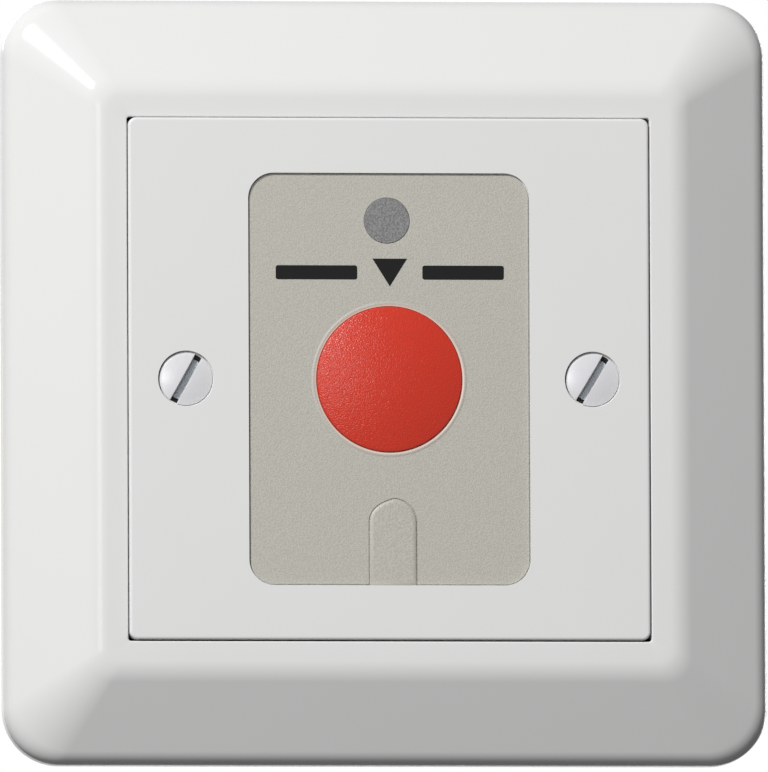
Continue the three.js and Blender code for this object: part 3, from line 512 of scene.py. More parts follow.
def shade(made):
    """Shades a piece smooth, with its flat faces flat and its sharp edges sharp."""
    made.data.shade_smooth()
    made.data.set_sharp_from_angle(angle=EDGE_ANGLE)
    weighted = made.modifiers.new("Normals", "WEIGHTED_NORMAL")
    weighted.keep_sharp = True
    weighted.weight = 100
    return settle(made)


def dress(made, looks, body="base", nodes=()):
    """Gives a piece its materials, its body and the CAD pieces that it stands for."""
    if not made.data.polygons:
        raise RuntimeError(f"{made.name} has no faces")
    shade(made)
    made.data.materials.clear()
    for look in looks:
        made.data.materials.append(look)
    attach(made, body)
    if nodes:
        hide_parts(*nodes)
    return made


def paint_where(made, number, chosen):
    """Gives one of a piece's materials to the faces whose corners are all chosen."""
    mesh = made.data
    marked = [chosen(vertex.co.x, vertex.co.z, -vertex.co.y) for vertex in mesh.vertices]
    for face in mesh.polygons:
        if all(marked[vertex] for vertex in face.vertices):
            face.material_index = number


def refined(node, name, width):
    """A CAD piece with its flat faces made whole and its edges rounded."""
    form = bmesh.new()
    form.from_mesh(frame["nodes"][node].data)
    bmesh.ops.remove_doubles(form, verts=form.verts, dist=WELD)
    bmesh.ops.dissolve_limit(
        form, angle_limit=FLAT_ANGLE, verts=form.verts, edges=form.edges
    )
    return soften(as_object(name, form), width)


def refit(node, name, width, look):
    """Stands a piece with rounded edges in for a CAD piece."""
    dress(refined(node, name, width), [look], nodes=[node])


# Materials


class Signal:
    """A node's output that sums and products can be written with."""

    def __init__(self, tree, socket):
        self.tree = tree
        self.socket = socket

    def maths(self, operation, first, second):
        return self.tree.node("ShaderNodeMath", {"operation": operation}, {0: first, 1: second})

    def largest(self, *others):
        """The largest of this value and others."""
        result = self
        for other in others:
            result = self.maths("MAXIMUM", result, other)
        return result

    def __add__(self, other):
        return self.maths("ADD", self, other)

    def __radd__(self, other):
        return self.maths("ADD", other, self)

    def __sub__(self, other):
        return self.maths("SUBTRACT", self, other)

    def __rsub__(self, other):
        return self.maths("SUBTRACT", other, self)

    def __mul__(self, other):
        return self.maths("MULTIPLY", self, other)

    def __rmul__(self, other):
        return self.maths("MULTIPLY", other, self)

    def __gt__(self, other):
        return self.maths("GREATER_THAN", self, other)

    def __lt__(self, other):
        return self.maths("LESS_THAN", self, other)


class Tree:
    """A node tree that is being filled."""

    def __init__(self, owner):
        owner.use_nodes = True
        self.nodes = owner.node_tree.nodes
        self.links = owner.node_tree.links

    def put(self, socket, value):
        if isinstance(value, Signal):
            self.links.new(value.socket, socket)
        else:
            socket.default_value = value

    def node(self, kind, settings=None, values=None, output=0):
        """A node of a kind, its settings first, then the values or links of its sockets."""
        made = self.nodes.new(kind)
        for name, value in (settings or {}).items():
            setattr(made, name, value)
        for key, value in (values or {}).items():
            self.put(made.inputs[key], value)
        return Signal(self, made.outputs[output])

    def mixed(self, amount, first, second):
        """A colour between two colours."""
        return self.node(
            "ShaderNodeMix", {"data_type": "RGBA"}, {0: amount, 6: first, 7: second}, output=2
        )


class Look(Tree):
    """A material: one Principled shader and the nodes that feed it."""

    def __init__(self, name, specular=0.5, metallic=0.0):
        self.material = bpy.data.materials.new(name)
        super().__init__(self.material)
        self.shader = self.nodes["Principled BSDF"]
        self.shader.inputs["Specular IOR Level"].default_value = specular
        self.shader.inputs["Metallic"].default_value = metallic
        self.where = self.node("ShaderNodeTexCoord", output="Object")

    def feed(self, socket, value):
        self.put(self.shader.inputs[socket], value)

    def noise(self, size, detail=2, where=None):
        """Smooth noise from 0 to 1 with features of a size."""
        return self.node(
            "ShaderNodeTexNoise",
            values={"Vector": where or self.where, "Scale": 1 / size, "Detail": detail},
        )

    def grain(self, size, contrast):
        """Fine noise round 0.5 with its contrast raised."""
        return (self.noise(size, 0) - 0.5) * contrast + 0.5

    def stretched(self, x, y, z):
        """The position, stretched along an axis."""
        return self.node(
            "ShaderNodeVectorMath", {"operation": "MULTIPLY"}, {0: self.where, 1: (x, y, z)}
        )

    def along(self, axis):
        """The position along an axis, in metres."""
        return self.node("ShaderNodeSeparateXYZ", values={0: self.where}, output=axis)

    def bump(self, height, depth, below=None):
        values = {"Distance": depth, "Height": height}
        if below is not None:
            values["Normal"] = below
        return self.node("ShaderNodeBump", values=values)


def opaque(color, factor=1.0):
    """A colour with its alpha, made lighter or darker."""
    return (*(min(1.0, channel * factor) for channel in color), 1.0)


def moulded_plastic(name, color, roughness, specular, skin_depth, skin_size=0.6 * MM):
    """Moulded plastic: faint clouds in its colour and gloss, and a fine uneven skin."""
    look = Look(name, specular)
    clouds = look.noise(14 * MM)
    look.feed("Base Color", look.mixed(clouds, opaque(color, 0.99), opaque(color, 1.01)))
    look.feed("Roughness", roughness + (clouds - 0.5) * 0.05)
    ripple = look.bump(look.noise(6 * MM), 3 * skin_depth)
    look.feed("Normal", look.bump(look.noise(skin_size, 3), skin_depth, ripple))
    return look.material


def printed_foil(name, color, grain, strength=0.09):
    """Printed film with a fine grain in its colour, gloss and skin."""
    look = Look(name, 0.3)
    fine = look.grain(grain, 2.5)
    drift = look.noise(9 * MM, 1)
    base = look.mixed(fine, opaque(color, 1 - strength), opaque(color, 1 + strength))
    look.feed("Base Color", look.mixed(drift * 0.4, base, opaque(color, 0.97)))
    look.feed("Roughness", 0.42 + (fine - 0.5) * 0.15)
    look.feed("Normal", look.bump(fine, 0.01 * MM))
    return look.material


def grained_red(name, color, grain):
    """Satin red plastic with an etched grain that breaks up its sheen."""
    look = Look(name, 0.28)
    fine = look.grain(grain, 2)
    coarse = look.noise(2.4 * grain, 1)
    base = look.mixed(fine, opaque(color, 0.92), opaque(color, 1.06))
    look.feed("Base Color", look.mixed(coarse * 0.3, base, opaque(color, 0.94)))
    look.feed("Roughness", 0.27 + (fine - 0.5) * 0.12)
    look.feed("Normal", look.bump(fine + coarse * 0.5, 0.017 * MM))
    return look.material


def plain(name, color, roughness, specular=0.3):
    """A plain coat, slightly uneven in colour and gloss."""
    look = Look(name, specular)
    haze = look.noise(0.8 * MM)
    look.feed("Base Color", look.mixed(haze, opaque(color, 0.93), opaque(color, 1.05)))
    look.feed("Roughness", roughness + haze * 0.1)
    return look.material


def enamel(name, color):
    """Sprayed enamel with a slight orange peel."""
    look = Look(name, 0.4)
    peel = look.noise(0.5 * MM, 2)
    look.feed("Base Color", look.mixed(peel, opaque(color, 0.98), opaque(color, 1.01)))
    look.feed("Roughness", 0.26 + (peel - 0.5) * 0.1)
    look.feed("Normal", look.bump(peel, 0.004 * MM))
    return look.material


def rolled_metal(name, color, roughness, streak=(1, 1, 1)):
    """Bare or plated metal with fine streaks and cloudy tarnish."""
    look = Look(name, metallic=1)
    lines = look.noise(0.25 * MM, 3, look.stretched(*streak))
    clouds = look.noise(5 * MM, 3)
    base = look.mixed(lines, opaque(color, 0.88), opaque(color, 1.06))
    look.feed("Base Color", look.mixed(clouds * 0.4, base, opaque(color, 0.86)))
    look.feed("Roughness", roughness + (clouds - 0.5) * 0.2 + (lines - 0.5) * 0.1)
    look.feed("Normal", look.bump(lines, 0.002 * MM))
    return look.material


def circuit_board_look(name, color):
    """Solder resist with the faint relief of copper tracks under it."""
    look = Look(name)
    tracks = look.node(
        "ShaderNodeTexWave",
        {"bands_direction": "X"},
        {"Vector": look.where, "Scale": 90.0, "Distortion": 6.0, "Detail": 0.0},
        output=1,
    )
    copper = tracks > 0.72
    weave = look.noise(0.4 * MM, 2)
    base = look.mixed(copper, opaque(color), opaque(color, 1.5))
    look.feed("Base Color", look.mixed(weave * 0.3, base, opaque(color, 0.8)))
    look.feed("Roughness", 0.35 + weave * 0.1)
    look.feed("Normal", look.bump(copper, 0.03 * MM))
    return look.material


def tinted_resin(name, color):
    """Tinted cast resin with faint swirls."""
    look = Look(name)
    swirl = look.noise(1.2 * MM, 2)
    look.feed("Base Color", look.mixed(swirl, opaque(color, 0.8), opaque(color, 1.15)))
    look.feed("Roughness", 0.12 + swirl * 0.08)
    return look.material


def banded_lacquer(name, color, middle, bands, width=0.6 * MM):
    """Lacquered body with coloured bands across its length, which runs up the wall."""
    look = Look(name)
    spots = look.noise(0.5 * MM, 2)
    base = look.mixed(spots, opaque(color, 0.93), opaque(color, 1.05))
    up = look.along("Z")
    for offset, band in bands:
        start = middle + offset - width / 2
        inside = (up > start) * (up < start + width)
        base = look.mixed(inside, base, opaque(band))
    look.feed("Base Color", base)
    look.feed("Roughness", 0.35 + spots * 0.1)
    look.feed("Normal", look.bump(spots, 0.01 * MM))
    return look.material


def repaint(node, look):
    """Gives a CAD piece that keeps its own mesh a better material."""
    for slot in frame["nodes"][node].material_slots:
        slot.material = look


# Pieces seen from the front


def corner_at(size, inset):
    """Radius of the frame's corner at a distance in from its outer edge."""
    bevel = size.border - size.rim_width
    if inset < bevel:
        return between(size.corner, size.rim_corner, inset / bevel)
    across = min(1, (inset - bevel) / size.rim_width)
    return between(size.rim_corner, size.opening_corner, across)


def frame_section(size, height):
    """Section of the frame as (distance in, height) pairs, and the ribs' section in its hollow."""
    bevel = size.border - size.rim_width
    slope = (height - size.side_height) / bevel
    under = size.wall * math.hypot(1, slope)
    skirt = size.border - size.wall
    foot = size.side_height + slope * size.wall - under
    ceiling = min(height - size.wall, size.side_height + slope * skirt - under)
    side = curve(
        [
            (0, size.side_height - size.side_round),
            (0, size.side_height),
            (size.side_round, size.side_height + slope * size.side_round),
        ],
        FILLET_STEPS,
    )
    rim = curve(
        [
            (bevel - size.rim_round, height - slope * size.rim_round),
            (bevel, height),
            (bevel + size.rim_round, height),
        ],
        FILLET_STEPS,
    )
    edge = curve(
        [
            (size.border - size.opening_round, height),
            (size.border, height),
            (size.border, height - size.opening_round),
        ],
        FILLET_STEPS // 2,
    )
    section = [
        (0, 0),
        *side,
        *rim,
        *edge,
        (size.border, size.ledge_top),
        (size.border + size.ledge_width, size.ledge_top),
        (size.border + size.ledge_width, size.ledge_bottom),
        (skirt, size.ledge_bottom),
        (skirt, ceiling),
        (size.wall, foot),
        (size.wall, 0),
    ]
    root = size.wall / 4
    rib = [
        (size.wall - root, size.ledge_bottom),
        (skirt + root, size.ledge_bottom),
        (skirt + root, ceiling + root),
        (size.wall - root, foot + root),
    ]
    return section, rib


def rib_form(rib, frame_side, along, thickness, quarter):
    """One rib in the frame's hollow, on the left side and then turned by quarters."""
    cosine = round(math.cos(quarter * WHOLE_TURN / 4))
    sine = round(math.sin(quarter * WHOLE_TURN / 4))
    courses = []
    for end in (along - thickness / 2, along + thickness / 2):
        flat = [(inset - frame_side / 2, end, out) for inset, out in rib]
        courses.append([place(x * cosine - up * sine, x * sine + up * cosine, out) for x, up, out in flat])
    return skin(courses)


class PUSHBUTTON_OT_surround(bpy.types.Operator):
    """Model the bevelled surround frame as one hollow moulding with ribs"""

    bl_idname = "push_button.surround"
    bl_label = "Surround Frame"

    def execute(self, context):
        size = context.scene.push_button.surround
        side = size_of("surround_frame")[0]
        section, rib = frame_section(size, out_of("surround_frame")[1])
        courses = [
            raised(rounded(side - 2 * inset, side - 2 * inset, corner_at(size, inset)), out)
            for inset, out in section
        ]
        made = as_object("frame_moulding", skin(courses, ring=True))
        ribs = [
            rib_form(rib, side, end * size.rib_spacing / 2, size.rib_thickness, quarter)
            for quarter in range(4)
            for end in SIDES.values()
        ]
        joined(made, *ribs)
        look = moulded_plastic(
            "Frame White", size.color, roughness=0.13, specular=0.05, skin_depth=0.0003 * MM
        )
        dress(made, [look], nodes=["surround_frame"])
        return {"FINISHED"}


class PUSHBUTTON_OT_plate(bpy.types.Operator):
    """Model the square plate with its pocket, bores, bosses and screw recesses"""

    bl_idname = "push_button.plate"
    bl_label = "Cover Plate"

    def execute(self, context):
        settings = context.scene.push_button
        size = settings.plate
        screw = settings.screw
        boss_end, front = out_of("cover_plate")
        web_back = front - size.web
        pocket_floor = front - size.pocket_depth
        centres = [middle_of("cover_screw_" + name) for name in SIDES]
        made = self.moulding(settings, web_back, front)
        joined(made, *[prism(circle(size.boss / 2, centre), boss_end, pocket_floor) for centre in centres])
        head_edge = out_of("cover_screw_left")[1] - screw.dome
        recess = screw.recess / 2
        countersink = [
            (screw.hole / 2, boss_end - OVERSIZE),
            (screw.hole / 2, head_edge - recess + screw.hole / 2),
            (screw.shaded / 2, head_edge - recess + screw.shaded / 2),
            (recess, head_edge),
            (recess, front + OVERSIZE),
        ]
        openings = self.openings(settings, web_back, pocket_floor, front)
        cut(made, *openings, *[turned(countersink, centre) for centre in centres])
        soften(made, size.fine_edge)
        white = moulded_plastic("Plate White", size.color, 0.34, 0.08, 0.0012 * MM, 0.35 * MM)
        # Painted shade: the deep cone of each countersink gets a dark material in place of the shadow in the
        # gap round the screw head.
        dark = plain("Countersink Painted Shade", screw.shade, 0.7)
        dress(made, [white, dark], nodes=["cover_plate"])
        deep = head_edge - recess + screw.shaded / 2 + size.fine_edge

        # Faces deep in a countersink, which get the painted shade.
        def in_painted_shade(x, up, out):
            distance = min(math.dist((x, up), centre) for centre in centres)
            return boss_end < out < deep and screw.hole / 2 - size.fine_edge < distance < recess

        paint_where(made, 1, in_painted_shade)
        return {"FINISHED"}

    def moulding(self, settings, web_back, front):
        """The plate with its rounded front edge, hollow behind inside its skirt."""
        size = settings.plate
        side = size_of("surround_frame")[0] - 2 * (settings.surround.border + size.gap)
        edge = curve(
            [(0, front - size.edge_round), (0, front), (size.edge_round, front)], FILLET_STEPS
        )
        courses = [
            raised(rounded(side - 2 * inset, side - 2 * inset, size.corner - inset, (0, size.lift)), out)
            for inset, out in [(0, size.skirt_end), *edge]
        ]
        inside = side - 2 * size.skirt
        hollow = prism(rounded(inside, inside, size.corner), size.skirt_end - OVERSIZE, web_back)
        return cut(as_object("plate_moulding", skin(courses)), hollow)

    def openings(self, settings, web_back, pocket_floor, front):
        """What the label's pocket and the bores of window, button and cord outlet take away."""
        label = settings.label
        width, height = size_of("overlay_foil")
        pocket = rounded(width + 2 * label.margin, height + 2 * label.margin, label.corner)
        window_bore = size_of("indicator_window")[0] / 2 + settings.window.bore_gap
        button_bore = settings.button.diameter / 2 + settings.button.bore_gap
        bores = [
            circle(window_bore, middle_of("indicator_window")),
            circle(button_bore),
            arch(settings.outlet, 0, pocket_foot(label)),
        ]
        return [
            prism(pocket, pocket_floor, front + OVERSIZE),
            *[prism(bore, web_back - OVERSIZE, front) for bore in bores],
        ]


class PUSHBUTTON_OT_label(bpy.types.Operator):
    """Model the printed foil with its raised lip and notch, and the sign on it"""

    bl_idname = "push_button.label"
    bl_label = "Label Foil"

    def execute(self, context):
        settings = context.scene.push_button
        size = settings.label
        back = out_of("overlay_foil")[0]
        front = back + size.thickness
        made = self.foil(settings, back, front)
        joined(made, self.lip(size, back, front))
        ring = plain("Foil Ring", size.ring_color, 0.3)
        looks = [printed_foil("Printed Foil", size.color, size.grain), ring]
        dress(made, looks, nodes=["overlay_foil"])
        pale = size.lip_inside + size.ring_width
        paint_where(made, 1, lambda x, up, out: math.hypot(x, up) < pale)
        self.print_sign(size, front)
        return {"FINISHED"}

    def foil(self, settings, back, front):
        """The foil with its rounded outer edge and its cut-outs."""
        size = settings.label
        width, height = (side + 2 * (size.margin - size.gap) for side in size_of("overlay_foil"))
        corner = size.corner - size.gap
        edge = curve([(0, front - size.edge_round), (0, front), (size.edge_round, front)], EDGE_STEPS)
        courses = [
            raised(rounded(width - 2 * inset, height - 2 * inset, corner - inset), out)
            for inset, out in [(0, back), *edge]
        ]
        window = settings.window.diameter / 2 + size.window_gap
        cut_outs = [
            circle(size.lip_inside + size.lip_width / 2),
            circle(window, middle_of("indicator_window")),
            arch(settings.outlet, 0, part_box("overlay_foil")[0].z - OVERSIZE),
        ]
        made = as_object("label_foil", skin(courses))
        cut(made, *[prism(outline, back - OVERSIZE, front + OVERSIZE) for outline in cut_outs])
        return soften(made, size.notch_round)

    def lip(self, size, back, front):
        """The raised lip round the button, a smooth swell across its width."""
        middle = (back + front) / 2
        profile = [(size.lip_inside, middle)]
        for step in range(2 * FILLET_STEPS + 1):
            across = step / (2 * FILLET_STEPS)
            swell = size.lip_height * (1 - math.cos(WHOLE_TURN * across)) / 2
            profile.append((size.lip_inside + size.lip_width * across, front + swell))
        profile.append((size.lip_inside + size.lip_width, middle))
        return turned(profile, ring=True)

    def print_sign(self, size, top):
        """Dark print: an arrow that points at the button between two bars."""
        middle = size.sign_offset
        bar_start = size.arrow_width / 2 + size.bar_gap
        bar_length = size.sign_width / 2 - bar_start
        low = top - size.ink_height
        high = top + size.ink_height
        tip = size.sign_rise - size.arrow_height / 2
        base = tip + size.arrow_height
        arrow = [
            (middle, tip),
            (middle + size.arrow_width / 2, base),
            (middle - size.arrow_width / 2, base),
        ]
        forms = [prism(arrow, low, high)]
        for side in SIDES.values():
            bar_middle = (middle + side * (bar_start + bar_length / 2), size.sign_rise)
            corner = size.bar_height / 6
            outline = rounded(bar_length, size.bar_height, corner, bar_middle, EDGE_STEPS)
            forms.append(prism(outline, low, high))
        look = plain("Label Ink", size.ink_color, 0.45, 0.12)
        for number, form in enumerate(forms, start=1):
            made = as_object(f"label_sign_{number}", form)
            dress(made, [look])


class PUSHBUTTON_OT_button(bpy.types.Operator):
    """Model the red cap with its dome, flange and stem"""

    bl_idname = "push_button.button"
    bl_label = "Red Button"

    def execute(self, context):
        settings = context.scene.push_button
        size = settings.button
        stem_end, top = out_of("button_cap")
        radius = size.diameter / 2
        stem = size.stem / 2
        flange = size_of("button_cap")[0] / 2
        flange_front = out_of("cover_plate")[1] - settings.plate.web - size.seat_gap
        flange_back = flange_front - size.flange
        edge = top - size.crown

        def dome(distance):
            return edge + size.crown * (1 - (distance / radius) ** 2)

        start = radius - size.edge_round
        fillet = curve(
            [(radius, edge - size.edge_round), (radius, dome(radius)), (start, dome(start))],
            FILLET_STEPS,
        )
        distances = [start * (1 - ring / DOME_RINGS) for ring in range(1, DOME_RINGS)]
        distances.append(0.02 * MM)
        profile = [
            (stem - size.chamfer, stem_end),
            (stem, stem_end + size.chamfer),
            (stem, flange_back),
            (flange - size.chamfer, flange_back),
            (flange, flange_back + size.chamfer),
            (flange, flange_front - size.chamfer),
            (flange - size.chamfer, flange_front),
            (radius, flange_front),
            *fillet,
            *[(distance, dome(distance)) for distance in distances],
        ]
        made = as_object("red_cap", turned(profile))
        look = grained_red("Signal Red", size.color, size.grain)
        dress(made, [look], body="button", nodes=["button_cap"])
        return {"FINISHED"}


class PUSHBUTTON_OT_window(bpy.types.Operator):
    """Model the smoky window over the indicator lamp"""

    bl_idname = "push_button.window"
    bl_label = "Indicator Window"

    def execute(self, context):
        settings = context.scene.push_button
        size = settings.window
        back, front = out_of("indicator_window")
        disc = size_of("indicator_window")[0] / 2
        radius = size.diameter / 2
        seat = front - settings.label.thickness
        rim = size.edge_round
        fillet = curve([(radius, front - rim), (radius, front), (radius - rim, front)], RIM_STEPS)
        profile = [
            (disc - rim, back),
            (disc, back + rim),
            (disc, seat - rim),
            (disc - rim, seat),
            (radius, seat),
            *fillet,
        ]
        made = as_object("lamp_window", turned(profile, middle_of("indicator_window")))
        look = printed_foil("Smoky Window", size.color, settings.label.grain, 0.3)
        dress(made, [look], nodes=["indicator_window"])
        return {"FINISHED"}


class PUSHBUTTON_OT_outlet(bpy.types.Operator):
    """Model the arch-shaped tongue that closes the cord outlet"""

    bl_idname = "push_button.outlet"
    bl_label = "Outlet Tongue"

    def execute(self, context):
        settings = context.scene.push_button
        size = settings.outlet
        back = out_of("cord_outlet_blank")[0]
        opening_foot = pocket_foot(settings.label)
        foot = opening_foot + size.play
        face = out_of("overlay_foil")[0] + settings.label.thickness
        shoulder = face - size.crown - size.groove
        body = size.play - size.gap
        profile = [(body, back), (body, shoulder), (0, shoulder)]
        for step in range(FILLET_STEPS + 1):
            angle = step / FILLET_STEPS * WHOLE_TURN / 4
            inset = size.border * (1 - math.cos(angle))
            profile.append((inset, face - size.crown + 2 * size.crown * math.sin(angle)))
        courses = [
            raised(arch(size, -size.gap - inset, foot + inset), out)
            for inset, out in profile
        ]
        made = as_object("outlet_tongue", skin(courses))
        flange = arch(size, size.flange_lip, opening_foot - size.flange_lip)
        joined(made, prism(flange, back, back + size.flange))
        look = printed_foil("Outlet Grey", settings.label.color, settings.label.grain)
        dress(made, [look], nodes=["cord_outlet_blank"])
        return {"FINISHED"}


class PUSHBUTTON_OT_cover_screws(bpy.types.Operator):
    """Model the two slotted screws with enamelled heads and bare slots"""

    bl_idname = "push_button.cover_screws"
    bl_label = "Cover Screws"

    def execute(self, context):
        size = context.scene.push_button.screw
        white = enamel("Screw Enamel", size.enamel)
        bare = printed_foil("Bare Slot", size.bare, 0.14 * MM, 0.3)
        for name, lean in (("left", size.lean_left), ("right", size.lean_right)):
            self.screw(size, name, lean, [white, bare])
        return {"FINISHED"}

    def screw(self, size, name, lean, looks):
        """One screw: its thread, its head and the slot across it."""
        node = "cover_screw_" + name
        middle = middle_of(node)
        back, front = out_of(node)
        edge = front - size.dome
        shoulder = edge - (size.head - size.shank) / 2
        thread = self.thread(size, middle, back, shoulder)
        made = as_object("screw_" + name, skin([*thread, *self.head(size, middle, edge, front)]))
        across = Vector((math.cos(lean), -math.sin(lean)))
        along = Vector((math.sin(lean), math.cos(lean)))
        floor = front - size.slot_depth
        outline = [
            tuple(Vector(middle) + across * right * size.slot_width / 2 + along * above * size.head)
            for right, above in CORNERS
        ]
        cut(made, prism(outline, floor, front + OVERSIZE))
        soften(made, size.slot_round)
        dress(made, looks, nodes=[node])
        just_past_walls = 0.6 * size.slot_width
        just_over_floor = floor + 0.1 * MM

        def bare(x, up, out):
            distance = abs((Vector((x, up)) - Vector(middle)).dot(across))
            return out < shoulder or (distance < just_past_walls and out < just_over_floor)

        paint_where(made, 1, bare)

    def thread(self, size, middle, back, shoulder):
        """Courses up the thread, which fades out at both ends."""
        rows = int(round((shoulder - back) / size.thread_pitch * THREAD_ROWS))
        courses = []
        for row in range(rows + 1):
            out = between(back, shoulder, row / rows)
            fade = min(1, (out - back) / size.thread_pitch, (shoulder - out) / size.thread_pitch)
            courses.append(self.thread_course(size, middle, out, size.shank / 2, fade))
        return courses

    def head(self, size, middle, edge, front):
        """Courses round the head's straight rim and over its dome."""
        radius = size.head / 2
        low = edge - size.rim / 2
        high = edge + size.rim / 2
        profile = [(radius, low), (radius, high)]
        for ring in range(1, HEAD_RINGS):
            distance = (radius - size.rim) * (1 - ring / HEAD_RINGS) ** 0.9
            rise = (size.dome - size.rim / 2) * (1 - (distance / radius) ** 2)
            profile.append((distance, high + rise))
        profile.append((0.05 * MM, front))
        return [raised(circle(distance, middle, FACET_STEPS), out) for distance, out in profile]

    def thread_course(self, size, middle, out, shank, fade):
        """One course round the thread, its depth following the helix."""
        course = []
        for step in range(FACET_STEPS):
            angle = WHOLE_TURN * step / FACET_STEPS
            turned_by = (out / size.thread_pitch - step / FACET_STEPS) % 1
            depth = size.thread_depth * fade * (1 - abs(2 * turned_by - 1))
            radius = shank - depth
            course.append(
                place(middle[0] + radius * math.cos(angle), middle[1] + radius * math.sin(angle), out)
            )
        return course


# Pieces behind the plate


class PUSHBUTTON_OT_steel_plate(bpy.types.Operator):
    """Finish the zinc-plated mounting plate and the screws that hold the module on it"""

    bl_idname = "push_button.steel_plate"
    bl_label = "Mounting Plate"

    def execute(self, context):
        size = context.scene.push_button.behind
        zinc = rolled_metal("Zinc Plate", size.zinc, 0.42, (1, 1, 0.15))
        refit("mounting_plate", "steel_plate", size.steel_edge, zinc)
        steel = rolled_metal("Screw Steel", size.steel, 0.34)
        for number in range(1, 5):
            for node, name in (("module_screw", "lug_screw"), ("terminal_screw", "wire_screw")):
                refit(f"{node}_{number}", f"{name}_{number}", size.screw_edge, steel)
            repaint(f"board_screw_{number}", steel)
        return {"FINISHED"}


class PUSHBUTTON_OT_module(bpy.types.Operator):
    """Finish the switch module's tray, lid and terminal block"""

    bl_idname = "push_button.module"
    bl_label = "Switch Module"

    def execute(self, context):
        size = context.scene.push_button.behind
        tray = moulded_plastic("Tray Grey", size.tray, 0.55, 0.4, 0.004 * MM, 0.3 * MM)
        lid = moulded_plastic("Lid Grey", size.lid, 0.5, 0.4, 0.003 * MM, 0.3 * MM)
        green = moulded_plastic("Terminal Green", size.block, 0.42, 0.45, 0.002 * MM, 0.3 * MM)
        brass = rolled_metal("Brass", size.brass, 0.3)
        refit("module_body", "module_tray", size.mould_edge, tray)
        refit("module_front", "module_lid", size.mould_edge, lid)
        refit("terminal_block", "terminal_housing", size.block_edge, green)
        for number in range(1, 5):
            repaint(f"terminal_clamp_{number}", brass)
        repaint("switch_plunger", lid)
        return {"FINISHED"}


class PUSHBUTTON_OT_spring(bpy.types.Operator):
    """Model the button's helical spring; the squeeze from the button's travel is worked out but not applied
    """

    bl_idname = "push_button.spring"
    bl_label = "Button Spring"

    def execute(self, context):
        size = context.scene.push_button.behind
        back, front = out_of("button_spring")
        wire = size.wire / 2
        radius = size_of("button_spring")[0] / 2 - wire
        bottom = back + wire
        top = front - wire
        steps = int(size.turns * COIL_STEPS)
        pitch = (top - bottom) / (WHOLE_TURN * size.turns)
        spokes = [WHOLE_TURN * spoke / WIRE_STEPS for spoke in range(WIRE_STEPS)]
        courses = []
        for step in range(steps + 1):
            angle = WHOLE_TURN * size.turns * step / steps
            outward = Vector((math.cos(angle), 0, math.sin(angle)))
            tangent = Vector((-radius * math.sin(angle), -pitch, radius * math.cos(angle))).normalized()
            side = tangent.cross(outward)
            centre = outward * radius + place(0, 0, between(bottom, top, step / steps))
            courses.append([centre + wire * (outward * math.cos(a) + side * math.sin(a)) for a in spokes])
        made = as_object("coil_spring", skin(courses))
        look = rolled_metal("Spring Steel", size.steel, 0.3)
        dress(made, [look], nodes=["button_spring"])
        press = next(joint for joint in frame["joints"] if joint["name"] == "button_press")
        travel = press["range_m"][1]
        height = front - back
        (height - travel) / height
        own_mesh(made)
        return {"FINISHED"}


class PUSHBUTTON_OT_circuit(bpy.types.Operator):
    """Finish the board, the switch, the lamp and the small parts on the board"""

    bl_idname = "push_button.circuit"
    bl_label = "Circuit"

    def execute(self, context):
        size = context.scene.push_button.behind
        black = moulded_plastic("Black Moulding", size.black, 0.45, 0.5, 0.003 * MM, 0.3 * MM)
        for node in ("switch_body", "led_spacer", "reverse_diode"):
            repaint(node, black)
        repaint("circuit_board", circuit_board_look("Solder Resist", size.board))
        repaint("indicator_led", tinted_resin("Lamp Resin", size.lamp))
        bands = [
            (-1.6 * MM, linear(200, 60, 40)),
            (-0.5 * MM, linear(90, 60, 40)),
            (0.6 * MM, linear(60, 60, 60)),
            (1.8 * MM, linear(190, 150, 60)),
        ]
        for number in (1, 2):
            node = f"series_resistor_{number}"
            middle = middle_of(node)[1]
            repaint(node, banded_lacquer(f"Resistor {number}", size.lacquer, middle, bands))
        return {"FINISHED"}


# Stage


def camera_axes(azimuth, elevation):
    """Directions back to the camera, to its right and up its picture."""
    back = Vector(
        (
            math.sin(azimuth) * math.cos(elevation),
            -math.cos(azimuth) * math.cos(elevation),
            math.sin(elevation),
        )
    )
    right = Vector((math.cos(azimuth), math.sin(azimuth), 0))
    return back, right, back.cross(right)


def panel_lamp(name, direction, side, level):
    """A square soft lamp that gives a face square to it a level of light."""
    light = bpy.data.lights.new(name, "AREA")
    light.shape = "SQUARE"
    light.size = side
    light.energy = level * (math.pi * LAMP_DISTANCE) ** 2
    lamp = bpy.data.objects.new(name, light)
    bpy.context.scene.collection.objects.link(lamp)
    towards = Vector(direction).normalized()
    lamp.location = towards * LAMP_DISTANCE
    lamp.rotation_mode = "QUATERNION"
    lamp.rotation_quaternion = towards.to_track_quat("Z", "Y")
    lamp.visible_camera = False


